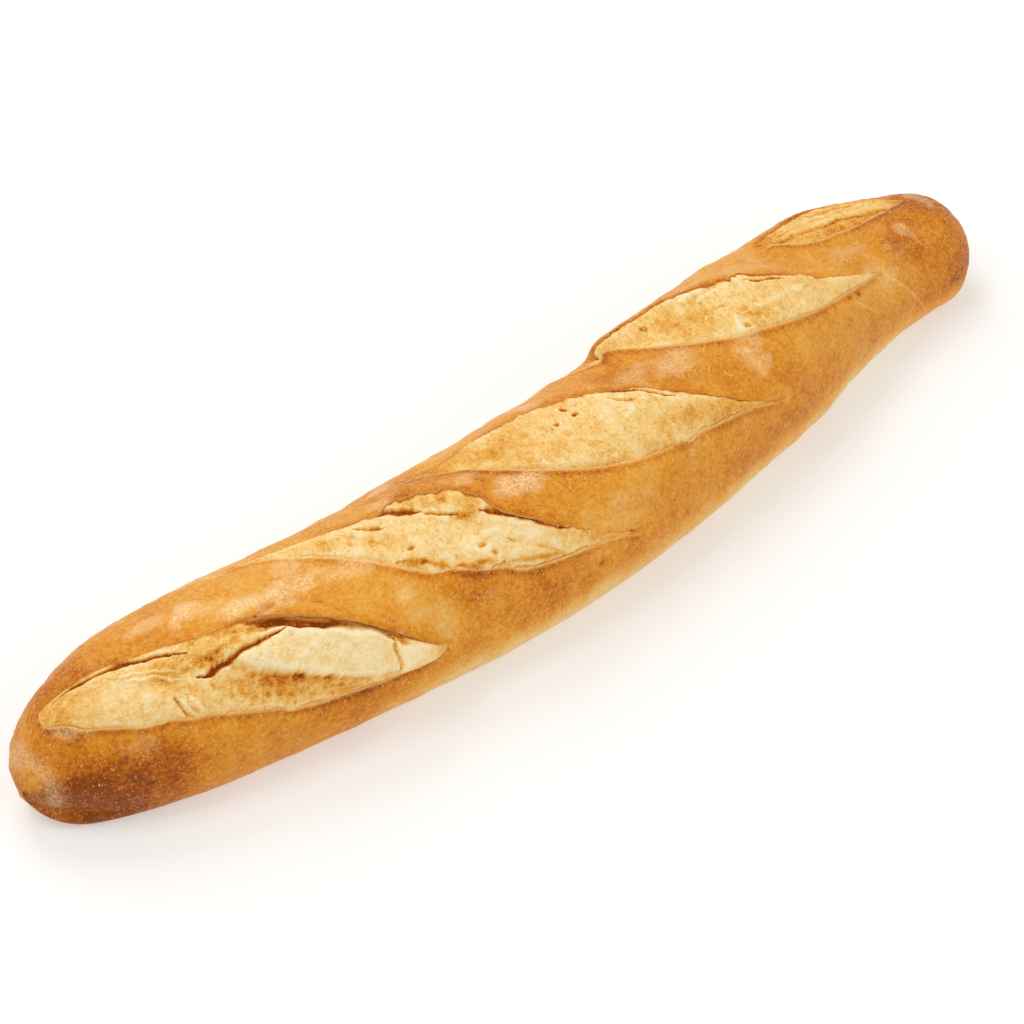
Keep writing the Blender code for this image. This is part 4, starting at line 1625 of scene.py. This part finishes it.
    def strewn(self, surfaces: list[bpy.types.Object], material: bpy.types.Material) -> bpy.types.Object:
        """The bits over all the surfaces, as one plain mesh.

        Args:
            surfaces: Objects whose meshes are strewn.
            material: The bits' finish.

        Returns:
            The new object.
        """
        joined = bmesh.new()
        tree = self.tree(material)
        values = {"Density": tried(self.density), "Smallest": self.smallest,
                  "Largest": self.largest, "Flatness": self.flatness, "Facing": self.facing,
                  "Patch": self.patch, "Seed": self.seed}
        for surface in surfaces:
            carrier = Meshes.linked(self.name + "_carrier", surface.data)
            modifier = carrier.modifiers.new(self.name, "NODES")
            modifier.node_group = tree
            for socket in tree.interface.items_tree:
                if socket.name in values and socket.in_out == "INPUT":
                    modifier[socket.identifier] = values[socket.name]
            mesh = Meshes.baked(carrier, self.name)
            joined.from_mesh(mesh)
            bpy.data.objects.remove(carrier, do_unlink=True)
            bpy.data.meshes.remove(mesh)
        whole = bpy.data.meshes.new(self.name)
        joined.to_mesh(whole)
        joined.free()
        whole.materials.append(material)
        whole.shade_smooth()
        log.info("%s: %d faces", self.name, len(whole.polygons))
        return Meshes.linked(self.name, whole)


BLISTERS = Scatter("crust_blisters", Bits.GRAIN, density=34000.0, smallest=0.25 * MM, largest=0.8 * MM,
                   flatness=0.35, facing=-0.55, seed=5)
CURLS = Scatter("crust_curls", Bits.CURL, density=42000.0, smallest=2.0 * MM, largest=5.0 * MM,
                flatness=0.5, facing=0.1, seed=8, gather="flakes")
GRANULES = Scatter("crumb_granules", Bits.GRAIN, density=200000.0, smallest=0.45 * MM,
                   largest=1.1 * MM, flatness=0.45, facing=0.2, seed=9)


@dataclass(frozen=True)
class Lamp:
    """A square soft light: where it stands, its side in metres and its watts."""

    name: str
    place: tuple[float, float, float]
    size: float
    power: float


@dataclass
class Studio:
    """Pale floor, soft lights and the camera."""

    middle: np.ndarray
    eye: tuple[float, float, float] = (-0.4787, -0.4738, 0.5714)
    target: tuple[float, float, float] = (-0.0347, 0.0025, 0.0250)
    lens: float = 82.3
    sensor: float = 36.0
    sky: float = 0.56
    sky_color: tuple[float, float, float, float] = (1.0, 0.99, 0.97, 1.0)
    floor_half: float = 6.0
    floor_drop: float = 0.0002
    lamps: tuple[Lamp, ...] = (
        Lamp("back_light", (0.3, 1.1, 1.4), 0.9, 11.5),
        Lamp("top_light", (-0.8, 0.3, 1.5), 0.7, 7.5),
        Lamp("front_light", (0.5, -1.5, 1.0), 1.5, 9.0),
    )

    def floor(self) -> bpy.types.Object:
        """A wide pale floor just under the loaf."""
        mesh = bpy.data.meshes.new("floor")
        signs = ((-1.0, -1.0), (1.0, -1.0), (1.0, 1.0), (-1.0, 1.0))
        corners = [(x * self.floor_half, y * self.floor_half, -self.floor_drop) for x, y in signs]
        mesh.from_pydata(corners, [], [(0, 1, 2, 3)])
        mesh.materials.append(FloorFinish().build())
        return Meshes.linked("floor", mesh)

    def light(self, lamp: Lamp) -> None:
        """Sets a lamp up, facing the loaf."""
        data = bpy.data.lights.new(lamp.name, "AREA")
        data.shape = "SQUARE"
        data.size = lamp.size
        data.energy = lamp.power
        light = bpy.data.objects.new(lamp.name, data)
        bpy.context.scene.collection.objects.link(light)
        light.location = lamp.place
        light.rotation_euler = (-Vector(lamp.place)).to_track_quat("-Z", "Y").to_euler()

    def camera(self) -> None:
        """The camera, looking down along the loaf from its near end."""
        data = bpy.data.cameras.new("camera")
        data.lens = self.lens
        data.sensor_width = self.sensor
        camera = bpy.data.objects.new("camera", data)
        bpy.context.scene.collection.objects.link(camera)
        camera.location = Vector(self.eye) + Vector(self.middle)
        way = Vector(self.target) - Vector(self.eye)
        camera.rotation_euler = way.to_track_quat("-Z", "Y").to_euler()
        bpy.context.scene.camera = camera

    def build(self) -> bpy.types.Object:
        """Sets everything up and returns the floor."""
        self.camera()
        for lamp in self.lamps:
            self.light(lamp)
        world = bpy.data.worlds.new("world")
        bpy.context.scene.world = world
        world.use_nodes = True
        background = world.node_tree.nodes["Background"]
        background.inputs["Color"].default_value = self.sky_color
        background.inputs["Strength"].default_value = self.sky
        bpy.context.scene.view_settings.view_transform = "Standard"
        return self.floor()


def place_on_frame(piece: bpy.types.Object) -> None:
    """Ties a piece to the loaf's body."""
    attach(piece, BODY)


def main() -> None:
    """Builds the loaf, its crumb and the studio."""
    logging.basicConfig(level=logging.INFO, format="%(name)s: %(message)s")
    crust_finish = CrustFinish().build()
    crumb_finish = CrumbFinish().build()
    crust = Crust(LoafForm(), SLASHES)
    crust.align()
    skin = crust.build(crust_finish, crumb_finish)
    place_on_frame(skin)
    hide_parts("loaf")
    crumbs = [Crumb(crust, slash).build(crumb_finish) for slash in SLASHES]
    blister_finish = BlisterFinish().build()
    pieces = [(piece, Slot.CRUMB) for piece in crumbs]
    pieces.append((GRANULES.strewn(crumbs, crumb_finish), Slot.CRUMB))
    pieces.append((BLISTERS.strewn([skin], blister_finish), Slot.CRUST))
    pieces.append((CURLS.strewn([skin], blister_finish), Slot.CRUST))
    for piece, slot in pieces:
        place_on_frame(piece)
    Studio(crust.shift).build()
    bpy.context.view_layer.update()


if __name__ == "__main__":
    main()
